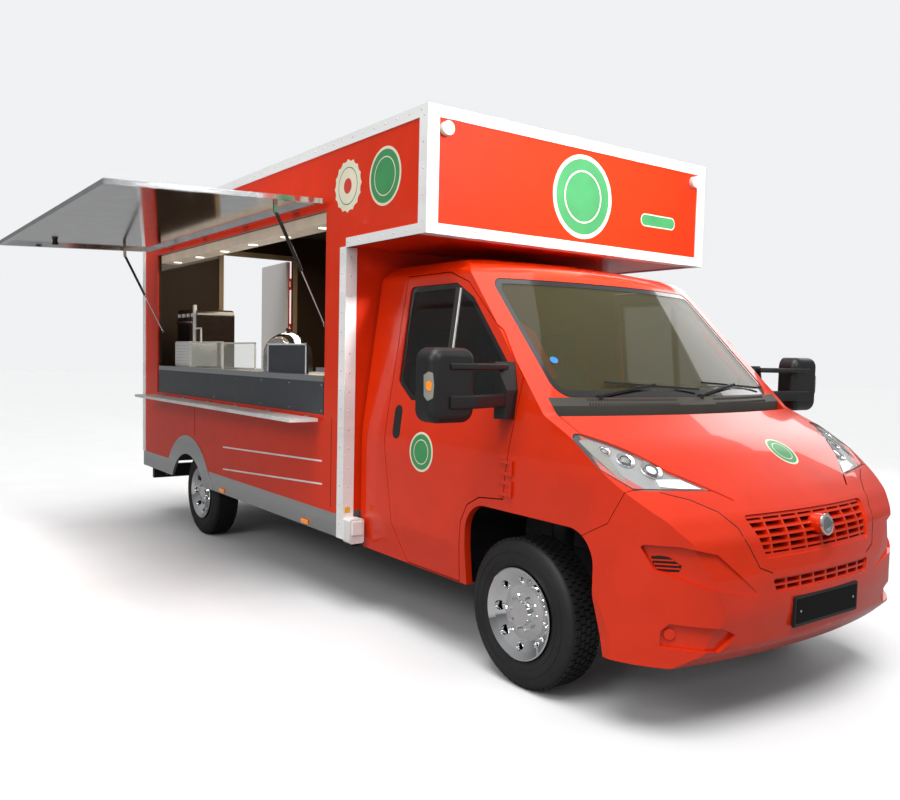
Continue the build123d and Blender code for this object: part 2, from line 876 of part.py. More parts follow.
def make_cab():
    """Every outer piece of the cab, cut from one hollow form so that the gaps line up."""
    outer = cab_form(0)
    inner = cab_form(cab_wall)
    shell = outer - inner
    below = box_between(
        cab_rear_x - overrun, nose_x + overrun, -cab_half_width - overrun, cab_half_width + overrun,
        bumper_lip_z - overrun * 2, cab_sill_z,
    )
    reach = cab_half_width + overrun
    bumper_zone = side_zone(bumper_points, -reach, reach)
    lamp_zone = side_zone(lamp_points, -reach, reach)
    nodes = {}
    arch = arch_cut()
    bonnet_all = bonnet_zone(0) - sweep_disc(screen_low_x)
    body = shell - below - arch - bumper_zone - bonnet_all - lamp_zone - screen_zone()
    body = body - box_between(cab_rear_x - overrun, cab_rear_x + cab_wall, -rail_outer_y - rail_gap,
                              rail_outer_y + rail_gap, cab_sill_z, rail_top_z + rail_gap)
    for side in side_signs:
        body = body - door_zone(side, 0)
        bore = cylinder_y(bonnet_pin + bonnet_pin_gap, bonnet_hinge_x, bonnet_hinge_z,
                          *sorted((side * cowl_half, side * (bonnet_side_half + bonnet_pin_reach))))
        body = body - bore
    body = keep_large(body)
    for side in side_signs:
        body = body + door_hinge_fixed(side)
    nodes["cab_shell"] = body
    nodes["bonnet"] = make_bonnet(outer)
    cowl_low = cab_form(cowl_lip_drop)
    cowl_area = (bonnet_zone(0) & sweep_disc(bonnet_rear_x)) - sweep_disc(screen_low_x)
    cowl_lip_area = cowl_area - sweep_disc(bonnet_rear_x - cowl_lip)
    cowl = ((outer - cab_form(cowl_wall)) & cowl_area) - cowl_lip_area
    nodes["cowl"] = cowl + ((cowl_low - cab_form(cowl_lip_drop + cowl_wall)) & cowl_lip_area)
    bumper = (shell & side_zone(bumper_points, -reach, reach, panel_gap / 2)) - arch
    bumper = bumper - bonnet_zone(-panel_gap / 2)
    cut = front_zone(grille_points, bonnet_rear_x, nose_x + overrun, 0, grille_corner)
    low_cut = front_zone(intake_points, bonnet_rear_x, nose_x + overrun, 0, intake_corner)
    bumper = bumper - cut - low_cut
    for side in side_signs:
        bumper = bumper - scoop_cut(outer, side) - fog_cut(outer, side)
    nodes["front_bumper"] = keep_large(bumper)
    nodes["grille"] = make_grille(outer, cut, low_cut)
    lamps = (outer - cab_form(lamp_depth)) & side_zone(lamp_points, -reach, reach, lamp_gap)
    nodes["headlamps"] = lamps - bonnet_zone(-panel_gap)
    nodes["windscreen"] = (cab_form(screen_depth) - cab_form(screen_depth + screen_wall)) & screen_zone()
    for side, name in ((-1, "right"), (1, "left")):
        door = (shell & door_zone(side, panel_gap)) - window_zone(side)
        pocket = handle_zone(side) - cab_form(handle_depth)
        nodes["cab_door_" + name] = keep_large(door - pocket) + door_hinge_moving(side)
        pane = (cab_form(glass_depth) - cab_form(glass_depth + glass_wall)) & window_zone(side)
        nodes["door_glass_" + name] = pane
        handle = (outer & handle_zone(side)) - cab_form(handle_depth)
        mirror_arm = make_mirror(side) - outer
        nodes["door_fittings_" + name] = Compound(children=[handle, mirror_arm])
    return nodes


def make_bonnet(outer):
    """The bonnet: a skin with a hemmed edge, a narrower inner panel and a hinge pin at each heel."""
    under = cab_form(bonnet_hem)
    skin = (outer - under) & bonnet_zone(panel_gap)
    panel = (under - cab_form(bonnet_wall)) & bonnet_zone(bonnet_hem_gap)
    bonnet = (skin + panel) - sweep_disc(bonnet_rear_x + cowl_gap)
    root = bonnet_side_half - bonnet_hem_gap - bonnet_wall
    for side in side_signs:
        ends = sorted((side * root, side * (bonnet_side_half + bonnet_pin_reach / 2)))
        bonnet = bonnet + cylinder_y(bonnet_pin, bonnet_hinge_x, bonnet_hinge_z, *ends)
    return bonnet


def scoop_cut(outer, side):
    """The bumper's side intake: a hollow that starts at its inner tip and deepens towards the arch."""
    points = [(side * y, z) for y, z in scoop_points]
    area = front_zone(points, bonnet_rear_x, nose_x + overrun, 0, scoop_corner)
    tip = Axis((scoop_tip_x, side * scoop_tip_y, 0), (0, 0, 1))
    return (outer & area) - outer.rotate(tip, side * scoop_turn)


def fog_cut(outer, side):
    """The blanked lamp recess low in the bumper."""
    points = [(side * y, z) for y, z in fog_points]
    area = front_zone(points, bonnet_rear_x, nose_x + overrun, 0, fog_corner)
    return (outer & area) - cab_form(fog_depth)


def door_hinge_fixed(side):
    """The shell's half of a cab door's two hinges: a knuckle on a foot, with its pin."""
    pieces = []
    for z in (door_hinge_low_z, door_hinge_high_z):
        low = z - door_hinge_knuckle / 2
        high = z + door_hinge_knuckle / 2
        ends = sorted((side * (cab_half_width - cab_wall / 2), side * door_hinge_y))
        foot = box_between(door_hinge_x - door_hinge_pin, door_hinge_x + door_hinge_pin, *ends, low, high)
        barrel = cylinder_z(door_hinge_barrel, door_hinge_x, side * door_hinge_y, low, high)
        pin = cylinder_z(door_hinge_pin, door_hinge_x, side * door_hinge_y,
                         low - door_hinge_knuckle / 2, high + door_hinge_knuckle / 2)
        pieces.extend([foot, barrel, pin])
    return fuse(pieces)


def door_hinge_moving(side):
    """The door's half of its two hinges: knuckles above and below, on leaves that reach over the gap."""
    pieces = []
    rear = door_front_waist_x - panel_gap - door_hinge_foot
    skin = sorted((side * (cab_half_width + hinge_side_gap),
                   side * (cab_half_width + hinge_side_gap + door_hinge_leaf)))
    foot_ends = sorted((side * (cab_half_width - cab_wall / 2), skin[side > 0]))
    for z in (door_hinge_low_z, door_hinge_high_z):
        for way in side_signs:
            start = z + way * (door_hinge_knuckle / 2 + hinge_side_gap)
            low, high = sorted((start, start + way * door_hinge_knuckle / 2))
            barrel = cylinder_z(door_hinge_barrel, door_hinge_x, side * door_hinge_y, low, high)
            leaf = box_between(rear, door_hinge_x, *skin, low, high)
            foot = box_between(rear, rear + door_hinge_foot / 2, *foot_ends, low, high)
            bore = cylinder_z(door_hinge_pin + hinge_pin_gap, door_hinge_x, side * door_hinge_y, low, high)
            pieces.append(barrel + leaf + foot - bore)
    return fuse(pieces)


def keep_large(shape):
    """The solids of a cut that are more than slivers."""
    solids = shape.solids()
    largest = max(solid.volume for solid in solids)
    kept = [solid for solid in solids if solid.volume > largest * sliver_share]
    return kept[0] if len(kept) == 1 else Compound(children=kept)


def make_grille(outer, cut, low_cut):
    """Slats across, ribs upright and a frame, all following the curve of the nose."""
    band = cab_form(grille_set_back) - cab_form(grille_set_back + grille_depth)
    upper = band & cut
    lower = band & low_cut
    rows = []
    pitch = (grille_top_z - grille_low_z) / grille_slats
    for row in range(grille_slats + 1):
        z = grille_low_z + row * pitch
        rows.append(box_between(bonnet_rear_x, nose_x, -grille_half_top, grille_half_top,
                                z - grille_slat / 2, z + grille_slat / 2))
    step = grille_half_top * 2 / (grille_ribs + 1)
    for rib in range(grille_ribs):
        y = -grille_half_top + (rib + 1) * step
        rows.append(box_between(bonnet_rear_x, nose_x, y - grille_rib / 2, y + grille_rib / 2,
                                grille_low_z, grille_top_z))
    frame = upper - front_zone(grille_points, bonnet_rear_x, nose_x + overrun, grille_frame)
    bars = upper & fuse(rows)
    badge = cylinder_x(badge_radius, 0, badge_z, grille_mid_x - grille_depth, badge_front_x)
    top = frame + bars + badge
    low_frame = lower - front_zone(intake_points, bonnet_rear_x, nose_x + overrun, grille_slat)
    low_rows = [box_between(bonnet_rear_x, nose_x, -intake_half_top, intake_half_top,
                            (intake_low_z + intake_top_z - grille_slat) / 2,
                            (intake_low_z + intake_top_z + grille_slat) / 2)]
    low_step = intake_half_top * 2 / (grille_ribs + 1)
    for rib in range(grille_ribs):
        y = -intake_half_top + (rib + 1) * low_step
        low_rows.append(box_between(bonnet_rear_x, nose_x, y - grille_rib / 2, y + grille_rib / 2,
                                    intake_low_z, intake_top_z))
    low = low_frame + (lower & fuse(low_rows))
    return Compound(children=[top, low])


def mirror_bar(side, middle_z, high):
    """One bar of a mirror's arm: out from the foot, then across the front of the head."""
    root_x = mirror_foot_front_x - mirror_bar_round
    root_y = mirror_foot_root_y - mirror_bar_deep / 2
    back = mirror_bar_front_x - mirror_bar_deep
    points = [
        (root_x - mirror_bar_deep, side * root_y),
        (root_x, side * root_y),
        (mirror_bar_front_x, side * mirror_inner_y),
        (mirror_bar_front_x, side * mirror_bar_tip_y),
        (back, side * mirror_bar_tip_y),
        (back, side * (mirror_inner_y + mirror_bar_round)),
    ]
    bar = plan_prism(points, middle_z - high / 2, middle_z + high / 2)
    return fillet(bar.faces().filter_by(Axis.Z).edges(), mirror_bar_round)


def make_mirror(side):
    """A tall long-arm mirror: a foot on the door's front corner, two bars and a round-cornered head."""
    ys = sorted((side * mirror_inner_y, side * mirror_outer_y))
    head_face = RectangleRounded(mirror_outer_y - mirror_inner_y, mirror_high, mirror_corner)
    middle_y = sum(ys) / 2
    head = extrude(Plane.YZ.offset(mirror_rear_x) * Pos(middle_y, mirror_z) * head_face, amount=mirror_deep)
    head = fillet(head.faces().sort_by(Axis.X)[-1].edges(), mirror_round)
    root = cab_cant_half_width
    foot_plan = [
        (mirror_foot_rear_x, side * root),
        (mirror_foot_rear_x, side * cab_half_width),
        (mirror_foot_top_x, side * mirror_foot_y),
        (mirror_foot_front_x, side * mirror_foot_root_y),
        (mirror_foot_front_x, side * root),
    ]
    foot_side = [
        (mirror_foot_rear_x, mirror_foot_low_z),
        (mirror_foot_front_x, mirror_foot_low_z),
        (mirror_foot_front_x, mirror_foot_shoulder_z),
        (mirror_foot_top_x, mirror_foot_top_z),
        (mirror_foot_rear_x, mirror_foot_top_z),
    ]
    foot = plan_prism(foot_plan, mirror_foot_low_z, mirror_foot_top_z)
    foot = foot & side_prism(foot_side, *sorted((side * root, side * mirror_foot_y)))
    low_bar = mirror_bar(side, mirror_low_bar_z, mirror_low_bar_high)
    high_bar = mirror_bar(side, mirror_high_bar_z, mirror_high_bar_high)
    return head + foot + low_bar + high_bar


def screen_place(y, z, out):
    """A point that stands off the windscreen's outer face."""
    slope = (header_x - screen_foot_x) / (header_z - screen_foot_z)
    centre_x = screen_foot_x + (z - screen_foot_z) * slope
    axis_x = nose_x - nose_sweep_radius
    x = axis_x + math.sqrt((centre_x - axis_x) ** 2 - y ** 2)
    length = math.hypot(1, slope)
    return Vector(x + out / length, y, z - out * slope / length)


def bar_between(start, end, wide, high):
    """A straight square bar from one point to another."""
    line = end - start
    plane = Plane(origin=start, z_dir=line)
    return extrude(plane * Rectangle(wide, high), amount=line.length)


def make_wipers():
    """Two parked wipers: pivot, arm and blade, each lying just off the glass."""
    pieces = []
    for pivot_y, tip_y in ((wiper_pivot_near_y, wiper_tip_near_y), (wiper_pivot_far_y, wiper_tip_far_y)):
        pivot = screen_place(pivot_y, screen_low_z, 0)
        base = pivot - Vector(0, 0, wiper_pivot_drop)
        foot = cylinder_z(wiper_pivot_radius, base.X, base.Y,
                          base.Z - wiper_pivot_drop, pivot.Z + wiper_off)
        knee = screen_place(pivot_y + (tip_y - pivot_y) * wiper_knee_share, wiper_knee_z, wiper_off)
        tip = screen_place(tip_y, wiper_tip_z, wiper_off)
        start = Vector(pivot.X, pivot.Y, pivot.Z + wiper_off / 2)
        arm = bar_between(start, knee, wiper_arm_wide, wiper_arm_wide)
        heel = screen_place(pivot_y + (tip_y - pivot_y) * wiper_heel_share, wiper_heel_z, wiper_off)
        blade = bar_between(heel, tip, wiper_blade_wide, wiper_blade_wide)
        pieces.append((foot + arm + blade) - cab_form(0))
    return Compound(children=pieces)


def make_cab_inside():
    """Floor tub with its wheel housings and fire wall, dashboard with the steering wheel, and seats."""
    nodes = {}
    inner = cab_half_width - cab_wall - trim_gap
    sill = cab_sill_half_width - cab_wall - trim_gap
    wall = tub_wall
    tub = [
        box_between(cab_rear_x + cab_wall, tub_break_x, -sill, sill, cab_floor_z - wall, cab_floor_z),
        box_between(tub_break_x, firewall_x, -tub_mid_half, tub_mid_half, cab_floor_z - wall, cab_floor_z),
        box_between(firewall_x, firewall_x + wall, -tub_mid_half, tub_mid_half, cab_floor_z - wall,
                    tub_shelf_z),
        box_between(firewall_x, firewall_x + wall, -firewall_half, firewall_half, tub_shelf_z,
                    firewall_top_z),
    ]
    for side in side_signs:
        low, high = sorted((side * tub_mid_half, side * sill))
        tub.append(box_between(tub_break_x - wall, tub_break_x, low, high, cab_floor_z - wall, tub_shelf_z))
        tub.append(box_between(tub_break_x - wall, firewall_x + wall, low, high, tub_shelf_z,
                               tub_shelf_z + wall))
        low, high = sorted((side * tub_mid_half, side * (tub_mid_half + wall)))
        tub.append(box_between(tub_break_x, firewall_x + wall, low, high, cab_floor_z - wall, tub_shelf_z))
        low, high = sorted((side * (sill - step_deep), side * sill))
        tub.append(box_between(door_bottom_rear_x, tub_break_x - overrun, low, high, cab_sill_z,
                               cab_floor_z - wall))
    nodes["cab_floor"] = fuse(tub)
    dash_half = dash_half_width
    dash = side_prism(
        [(dash_rear_x, dash_low_z), (dash_rear_x - dash_lean, dash_top_z), (dash_brow_x, dash_top_z),
         (firewall_x, firewall_top_z - dash_front_drop), (firewall_x, dash_low_z)],
        -dash_half, dash_half)
    hub = Vector(wheel_x, wheel_y, wheel_z)
    tilt = Plane(origin=hub, z_dir=(-math.cos(math.radians(wheel_tilt)), 0,
                                    math.sin(math.radians(wheel_tilt))))
    ring = tilt * Torus(wheel_radius, wheel_grip)
    spokes = tilt * Box(wheel_radius * 2, wheel_spoke_wide, wheel_grip)
    boss = tilt * Cylinder(wheel_boss_radius, wheel_grip * 3)
    column = extrude(tilt * Circle(wheel_column_radius), amount=-wheel_column)
    nodes["dashboard_and_wheel"] = dash + column + ring + spokes + boss
    seats = []
    for middle, wide in ((driver_y, seat_wide), (passenger_y, seat_wide * 2)):
        low = middle - wide / 2
        high = middle + wide / 2
        base = box_between(seat_rear_x + seat_back_wall, seat_front_x, low + seat_inset, high - seat_inset,
                           cab_floor_z, seat_low_z)
        cushion = box_between(seat_rear_x, seat_front_x, low, high, seat_low_z, seat_low_z + seat_pad)
        back_points = [(seat_rear_x, seat_low_z + seat_pad),
                       (seat_rear_x + seat_back_wall, seat_low_z + seat_pad),
                       (seat_rear_x + seat_back_wall - seat_lean, seat_top_z),
                       (seat_rear_x - seat_lean, seat_top_z)]
        piece = base + cushion + side_prism(back_points, low, high)
        count = round(wide / seat_wide)
        for place in range(count):
            y = low + seat_wide * (place + 0.5)
            rest_x = seat_rear_x - seat_lean + seat_back_wall / 2
            piece = piece + box_between(rest_x - headrest_deep / 2, rest_x + headrest_deep / 2,
                                        y - headrest_wide / 2, y + headrest_wide / 2,
                                        seat_top_z, seat_top_z + headrest_high)
        seats.append(piece)
    nodes["seats"] = Compound(children=seats)
    nodes["engine_block"] = box_between(engine_rear_x, engine_front_x, -engine_half, engine_half,
                                        rail_top_z, engine_top_z)
    nodes["wheel_liners"] = make_liners()
    return nodes


def make_liners():
    """A liner over each front wheel, with a hole for the strut."""
    low = bumper_lip_z + overrun
    liners = []
    for side in side_signs:
        ends = sorted((side * liner_inner_y, side * liner_outer_y))
        outer = [(-liner_reach, low), (-liner_reach, liner_top_z), (liner_reach, liner_top_z),
                 (liner_reach, low)]
        face = make_face(Polyline(*outer, close=True))
        face = fillet(face.vertices().sort_by(Axis.Y)[-2:], liner_round)
        inside = make_face(Polyline(*drawn_in(outer, liner_wall), close=True))
        inside = fillet(inside.vertices().sort_by(Axis.Y)[-2:], liner_round - liner_wall)
        solid = extrude(Plane.XZ.offset(-ends[1]) * face, amount=ends[1] - ends[0])
        cut = extrude(Plane.XZ.offset(-ends[1] - overrun) * inside, amount=ends[1] - ends[0] + overrun * 2)
        foot = box_between(-liner_reach, liner_reach, ends[0], ends[1], low - overrun, low + liner_wall * 2)
        hole = cylinder_z(strut_hole_radius, 0, side * steer_axis_y, liner_top_z - overrun,
                          liner_top_z + overrun)
        liners.append(solid - cut - foot - hole)
    return Compound(children=liners)


def wheel_profile(points):
    return make_face(Polyline(*points, close=True))


def make_tyre():
    """One tyre about the Y axis, outward face towards +Y, centred on the origin."""
    half = tyre_width / 2
    bead = rim_radius - rim_lip / 2
    tread_half = half - tyre_shoulder
    outline = [
        Line((bead, -half + tyre_bead_in), (rim_radius + rim_lip, -half + tyre_bead_in / 2)),
        ThreePointArc((rim_radius + rim_lip, -half + tyre_bead_in / 2), (tyre_bulge_radius, -half),
                      (tyre_radius - tyre_shoulder, -half + tyre_bulge_in)),
        ThreePointArc((tyre_radius - tyre_shoulder, -half + tyre_bulge_in),
                      (tyre_radius - tyre_shoulder * 0.3, -tread_half - tyre_shoulder * 0.3),
                      (tyre_radius, -tread_half)),
    ]
    half_outline = Curve() + outline
    other = mirror(half_outline, Plane.XZ)
    joins = [Line((tyre_radius, -tread_half), (tyre_radius, tread_half)),
             Line((bead, -half + tyre_bead_in), (bead, half - tyre_bead_in))]
    face = make_face(half_outline + other + joins)
    return revolve(Plane.XY * face, Axis.Y, 360)


def make_rim():
    """Steel rim with a dished wheel trim: round holes, a ring of nut domes and a centre cap."""
    half = tyre_width / 2 - tyre_bead_in
    inner = rim_radius - rim_lip / 2
    barrel = wheel_profile([
        (inner - rim_wall, -half), (inner, -half), (inner, half), (inner - rim_wall, half)])
    disc = wheel_profile([
        (bearing_bore, disc_offset - disc_wall), (inner - rim_wall, disc_offset - disc_wall),
        (inner - rim_wall, disc_offset), (bearing_bore, disc_offset)])
    seat = tyre_width / 2 - tyre_bead_in / 2 + trim_clear
    edge = seat + trim_edge
    trim = wheel_profile([
        (inner, half), (trim_radius, seat), (trim_radius, edge),
        (trim_radius - trim_lip, edge + trim_lip / 2),
        (trim_hole_circle + trim_hole_radius, edge - trim_dish / 3),
        (trim_hole_circle - trim_hole_radius, edge - trim_dish),
        (hub_cap_radius + nut_ring_wide, edge - trim_dish + trim_lip),
        (hub_cap_radius, edge - trim_dish + trim_lip),
        (hub_cap_radius - trim_lip, edge - trim_dish + hub_cap_height),
        (0, edge - trim_dish + hub_cap_height),
        (0, disc_offset - disc_wall), (trim_hole_circle - trim_hole_radius, disc_offset - disc_wall),
        (inner - rim_wall, edge - trim_wall - trim_dish / 3), (inner - rim_wall, half),
    ])
    solid = revolve(Plane.XY * barrel, Axis.Y, 360) + revolve(Plane.XY * disc, Axis.Y, 360)
    solid = solid + revolve(Plane.XY * trim, Axis.Y, 360)
    for place in range(trim_hole_count):
        turn = 2 * math.pi * place / trim_hole_count
        x = trim_hole_circle * math.cos(turn)
        z = trim_hole_circle * math.sin(turn)
        solid = solid - cylinder_y(trim_hole_radius, x, z, disc_offset, edge + overrun)
    return solid


def place_wheel(shape, x, side, track):
    turned = shape if side > 0 else mirror(shape, Plane.XZ)
    return Pos(x, side * track, tyre_radius) * turned


def make_wheels():
    tyre = make_tyre()
    rim = make_rim()
    nodes = {}
    for axle, x, track in (("front", 0, front_track_half), ("rear", -wheelbase, rear_track_half)):
        for side, name in ((-1, "right"), (1, "left")):
            nodes["tyre_" + axle + "_" + name] = place_wheel(tyre, x, side, track)
            nodes["rim_" + axle + "_" + name] = place_wheel(rim, x, side, track)
    return nodes


def make_running_gear():
    """Knuckles, front struts and arms, and the sprung rear axle."""
    nodes = {}
    for side, name in ((-1, "right"), (1, "left")):
        face_y = front_track_half + disc_offset - disc_wall - bearing_gap
        hub = cylinder_y(hub_radius, 0, tyre_radius, *sorted((side * hub_inner_y, side * face_y)))
        clamp = cylinder_z(clamp_radius, 0, side * steer_axis_y, clamp_low_z, clamp_high_z)
        web = box_between(-clamp_radius, clamp_radius, *sorted((side * steer_axis_y, side * hub_inner_y)),
                          tyre_radius - hub_radius, tyre_radius + hub_radius)
        bore = cylinder_z(strut_radius + spindle_gap, 0, side * steer_axis_y,
                          clamp_low_z - overrun, clamp_high_z + overrun)
        nodes["knuckle_" + name] = hub + clamp + web - bore
    front = []
    for side in side_signs:
        strut = cylinder_z(strut_radius, 0, side * steer_axis_y, arm_low_z, tub_shelf_z)
        spring = cylinder_z(spring_radius, 0, side * steer_axis_y, spring_low_z, spring_high_z)
        arm = plan_prism([(-arm_half, side * rail_outer_y), (arm_half, side * rail_outer_y),
                          (clamp_radius, side * (steer_axis_y + clamp_radius)),
                          (-clamp_radius, side * (steer_axis_y + clamp_radius))], arm_low_z,
                          arm_low_z + arm_wall)
        rail_ends = sorted((side * rail_inner_y, side * rail_outer_y))
        bracket = box_between(-arm_half, arm_half, *rail_ends, arm_low_z, rail_low_z)
        front.append(strut + spring + arm + bracket)
    nodes["front_suspension"] = Compound(children=front)
    face_y = rear_track_half + disc_offset - disc_wall - bearing_gap
    axle = cylinder_y(axle_radius, -wheelbase, tyre_radius, -face_y + hub_depth, face_y - hub_depth)
    for side in side_signs:
        hub_ends = sorted((side * (face_y - hub_depth), side * face_y))
        axle = axle + cylinder_y(hub_radius, -wheelbase, tyre_radius, *hub_ends)
        ends = (side * rail_y - spring_wide / 2, side * rail_y + spring_wide / 2)
        leaf_low = tyre_radius + axle_radius - trim_wall
        leaf = box_between(-wheelbase - leaf_reach, -wheelbase + leaf_reach, *ends,
                           leaf_low, leaf_low + leaf_wall)
        axle = axle + leaf
        for end in side_signs:
            x = -wheelbase + end * leaf_reach
            shackle = box_between(min(x, x - end * leaf_wall * 2), max(x, x - end * leaf_wall * 2), *ends,
                                  leaf_low + leaf_wall, rail_low_z)
            axle = axle + shackle
    nodes["rear_axle"] = axle
    return nodes


def make_chassis():
    """Two channel rails tied by cross members, with a crash beam ahead of them."""
    pieces = []
    for side in side_signs:
        rail = box_between(rail_rear_x, rail_front_x, *sorted((side * rail_inner_y, side * rail_outer_y)),
                           rail_low_z, rail_top_z)
        hollow = box_between(rail_rear_x - overrun, rail_front_x + overrun,
                             *sorted((side * (rail_inner_y - overrun), side * (rail_outer_y - rail_wall))),
                             rail_low_z + rail_wall, rail_top_z - rail_wall)
        horn = box_between(rail_front_x, nose_x - cab_wall - beam_inset,
                           *sorted((side * (beam_half - rail_wide), side * beam_half)), beam_low_z,
                           beam_high_z)
        link = box_between(rail_front_x - rail_wide, rail_front_x,
                           *sorted((side * (beam_half - rail_wide), side * rail_outer_y)), rail_low_z,
                           rail_top_z)
        pieces.extend([rail - hollow, horn, link])
    web = rail_outer_y - rail_wall
    first = cross_front_x
    last = rail_rear_x + cross_deep / 2
    for place in range(cross_count):
        x = first + (last - first) * place / (cross_count - 1)
        pieces.append(box_between(x - cross_deep / 2, x + cross_deep / 2, -web, web,
                                  rail_top_z - cross_drop - cross_high, rail_top_z - cross_drop))
    pieces.append(box_between(nose_x - cab_wall - beam_inset - beam_deep, nose_x - cab_wall - beam_inset,
                              -beam_half, beam_half, beam_low_z, beam_high_z))
    return {"chassis_frame": fuse(pieces)}


arch_x = -wheelbase - arch_shift
panel_inner_y = box_half_width - box_wall
wall_top_z = box_top_z - box_wall


def side_panel(side):
    """One side of the box: a tall panel that carries on forward over the cab."""
    points = [
        (box_rear_x, box_panel_low_z),
        (box_front_x, box_panel_low_z),
        (box_front_x, overcab_low_z),
        (overcab_front_x, overcab_low_z),
        (overcab_front_x, wall_top_z),
        (box_rear_x, wall_top_z),
    ]
    panel = side_zone(points, *sorted((side * panel_inner_y, side * box_half_width)))
    ends = sorted((side * (panel_inner_y - overrun), side * (box_half_width + overrun)))
    return panel - cylinder_y(arch_open_radius + arch_hem, arch_x, arch_centre_z, *ends)


def make_box():
    """The box body: sides, front with the over-cab locker, roof, floor and rear wall."""
    nodes = {}
    nodes["box_side_left"] = side_panel(1)
    opening = box_between(opening_rear_x, opening_front_x, -box_half_width - overrun,
                          -panel_inner_y + overrun,
                          opening_low_z, opening_top_z)
    right = side_panel(-1) - opening
    for jamb_x, inward in ((opening_front_x, -1), (opening_rear_x, 1)):
        reach = strut_inset - strut_eye_width / 2 - strut_side_gap
        ends = sorted((jamb_x, jamb_x + inward * reach))
        right = right + cylinder_x(strut_pin_radius, strut_foot_y, strut_foot_z, *ends)
    for x in hinge_places(opening_rear_x, opening_front_x):
        right = right + Pos(x, -box_half_width - hinge_out, hinge_z) * hinge_fixed(
            hinge_barrel, hinge_pin, hinge_knuckle, hinge_out)
    for x in hinge_places(shelf_rear_x, shelf_front_x):
        right = right + Pos(x, -box_half_width - shelf_hinge_out, shelf_hinge_z) * hinge_fixed(
            shelf_barrel, shelf_pin, hinge_knuckle, shelf_hinge_out)
    nodes["box_side_right"] = right
    front = box_between(box_front_x - box_wall, box_front_x, -panel_inner_y, panel_inner_y,
                        box_floor_z, overcab_low_z)
    front = front + box_between(box_front_x - box_wall, overcab_front_x, -panel_inner_y, panel_inner_y,
                                overcab_low_z, overcab_low_z + box_wall)
    front = front + box_between(overcab_front_x - box_wall, overcab_front_x, -panel_inner_y, panel_inner_y,
                                overcab_low_z, wall_top_z)
    nodes["box_front"] = front
    nodes["box_roof"] = box_between(box_rear_x, overcab_front_x, -box_half_width, box_half_width,
                                    wall_top_z, box_top_z)
    nodes["box_floor"] = make_box_floor()
    rear = box_between(box_rear_x, box_rear_x + box_wall, -panel_inner_y, panel_inner_y,
                       box_floor_z - box_floor_wall, wall_top_z)
    doorway = box_between(box_rear_x - overrun, box_rear_x + box_wall + overrun,
                          rear_door_right_y, rear_door_left_y, rear_door_low_z, rear_door_high_z)
    rear = rear - doorway
    for z in rear_hinge_places():
        rear = rear + Pos(rear_hinge_x, rear_door_left_y, z) * Rot(0, -90, 0) * hinge_fixed(
            rear_hinge_barrel, rear_hinge_pin, hinge_knuckle, rear_hinge_leaf, rear_hinge_out)
    nodes["box_rear"] = rear
    return nodes


def make_box_floor():
    """A sandwich floor with a raised box over each rear wheel."""
    low = box_floor_z - box_floor_wall
    floor = box_between(box_rear_x + box_wall, box_front_x, -panel_inner_y, panel_inner_y, low, box_floor_z)
    floor = floor - box_between(box_front_x - box_wall, box_front_x + overrun, -panel_inner_y - overrun,
                                panel_inner_y + overrun, box_floor_z, box_floor_z + overrun)
    wall = tub_wall
    for side in side_signs:
        ends = sorted((side * wheel_box_inner_y, side * panel_inner_y))
        outer = sorted((side * (wheel_box_inner_y - wall), side * panel_inner_y))
        rear = -wheelbase - wheel_box_reach
        front = -wheelbase + wheel_box_reach
        floor = floor + box_between(rear - wall, front + wall, *outer, low, wheel_box_top_z + wall)
        inner = sorted((side * wheel_box_inner_y, side * (panel_inner_y + overrun)))
        floor = floor - box_between(rear, front, *inner, low - overrun, wheel_box_top_z)
    return floor


def make_box_trims():
    """Aluminium corner profiles round the front face, the step, the roof edge and the rear corners."""
    proud = trim_proud
    half = box_half_width
    pieces = []
    roof_low = box_top_z - trim_high
    for side in side_signs:
        face = sorted((side * half, side * (half + proud)))
        pieces.append(box_between(box_rear_x, overcab_front_x + proud, *face, roof_low, box_top_z + proud))
        pieces.append(box_between(overcab_front_x - trim_wide, overcab_front_x + proud, *face,
                                  overcab_low_z - proud, roof_low))
        pieces.append(box_between(box_front_x - trim_wide, box_front_x + proud, *face, skirt_low_z,
                                  overcab_low_z))
        pieces.append(box_between(box_front_x, overcab_front_x + proud, *face,
                                  overcab_low_z - proud, overcab_low_z + trim_high - proud))
        pieces.append(box_between(box_rear_x - proud, box_rear_x + trim_wide, *face,
                                  box_panel_low_z, box_top_z + proud))
        front = sorted((side * (half - trim_wide), side * (half + proud)))
        pieces.append(box_between(overcab_front_x, overcab_front_x + proud, *front,
                                  overcab_low_z - proud, box_top_z + proud))
        pieces.append(box_between(box_rear_x - proud, box_rear_x, *front, box_panel_low_z, box_top_z + proud))
        step = sorted((side * (half - trim_wide), side * (half + proud)))
        pieces.append(box_between(box_front_x, box_front_x + proud, *step, skirt_low_z,
                                  overcab_low_z - proud))
        lid = sorted((side * (half - trim_wide), side * (half + proud)))
        pieces.append(box_between(box_rear_x - proud, overcab_front_x + proud, *lid,
                                  box_top_z, box_top_z + proud))
    pieces.append(box_between(overcab_front_x, overcab_front_x + proud, -half, half,
                              roof_low, box_top_z + proud))
    pieces.append(box_between(overcab_front_x, overcab_front_x + proud, -half, half,
                              overcab_low_z - proud, overcab_low_z + trim_high - proud))
    pieces.append(box_between(overcab_front_x - trim_wide, overcab_front_x + proud, -half, half,
                              overcab_low_z - proud, overcab_low_z))
    pieces.append(box_between(overcab_front_x - trim_wide, overcab_front_x + proud, -half, half,
                              box_top_z, box_top_z + proud))
    pieces.append(box_between(box_rear_x - proud, box_rear_x + trim_wide, -half, half,
                              box_top_z, box_top_z + proud))
    pieces.append(box_between(box_rear_x - proud, box_rear_x, -half, half, roof_low, box_top_z + proud))
    return {"box_trims": fuse(pieces)}


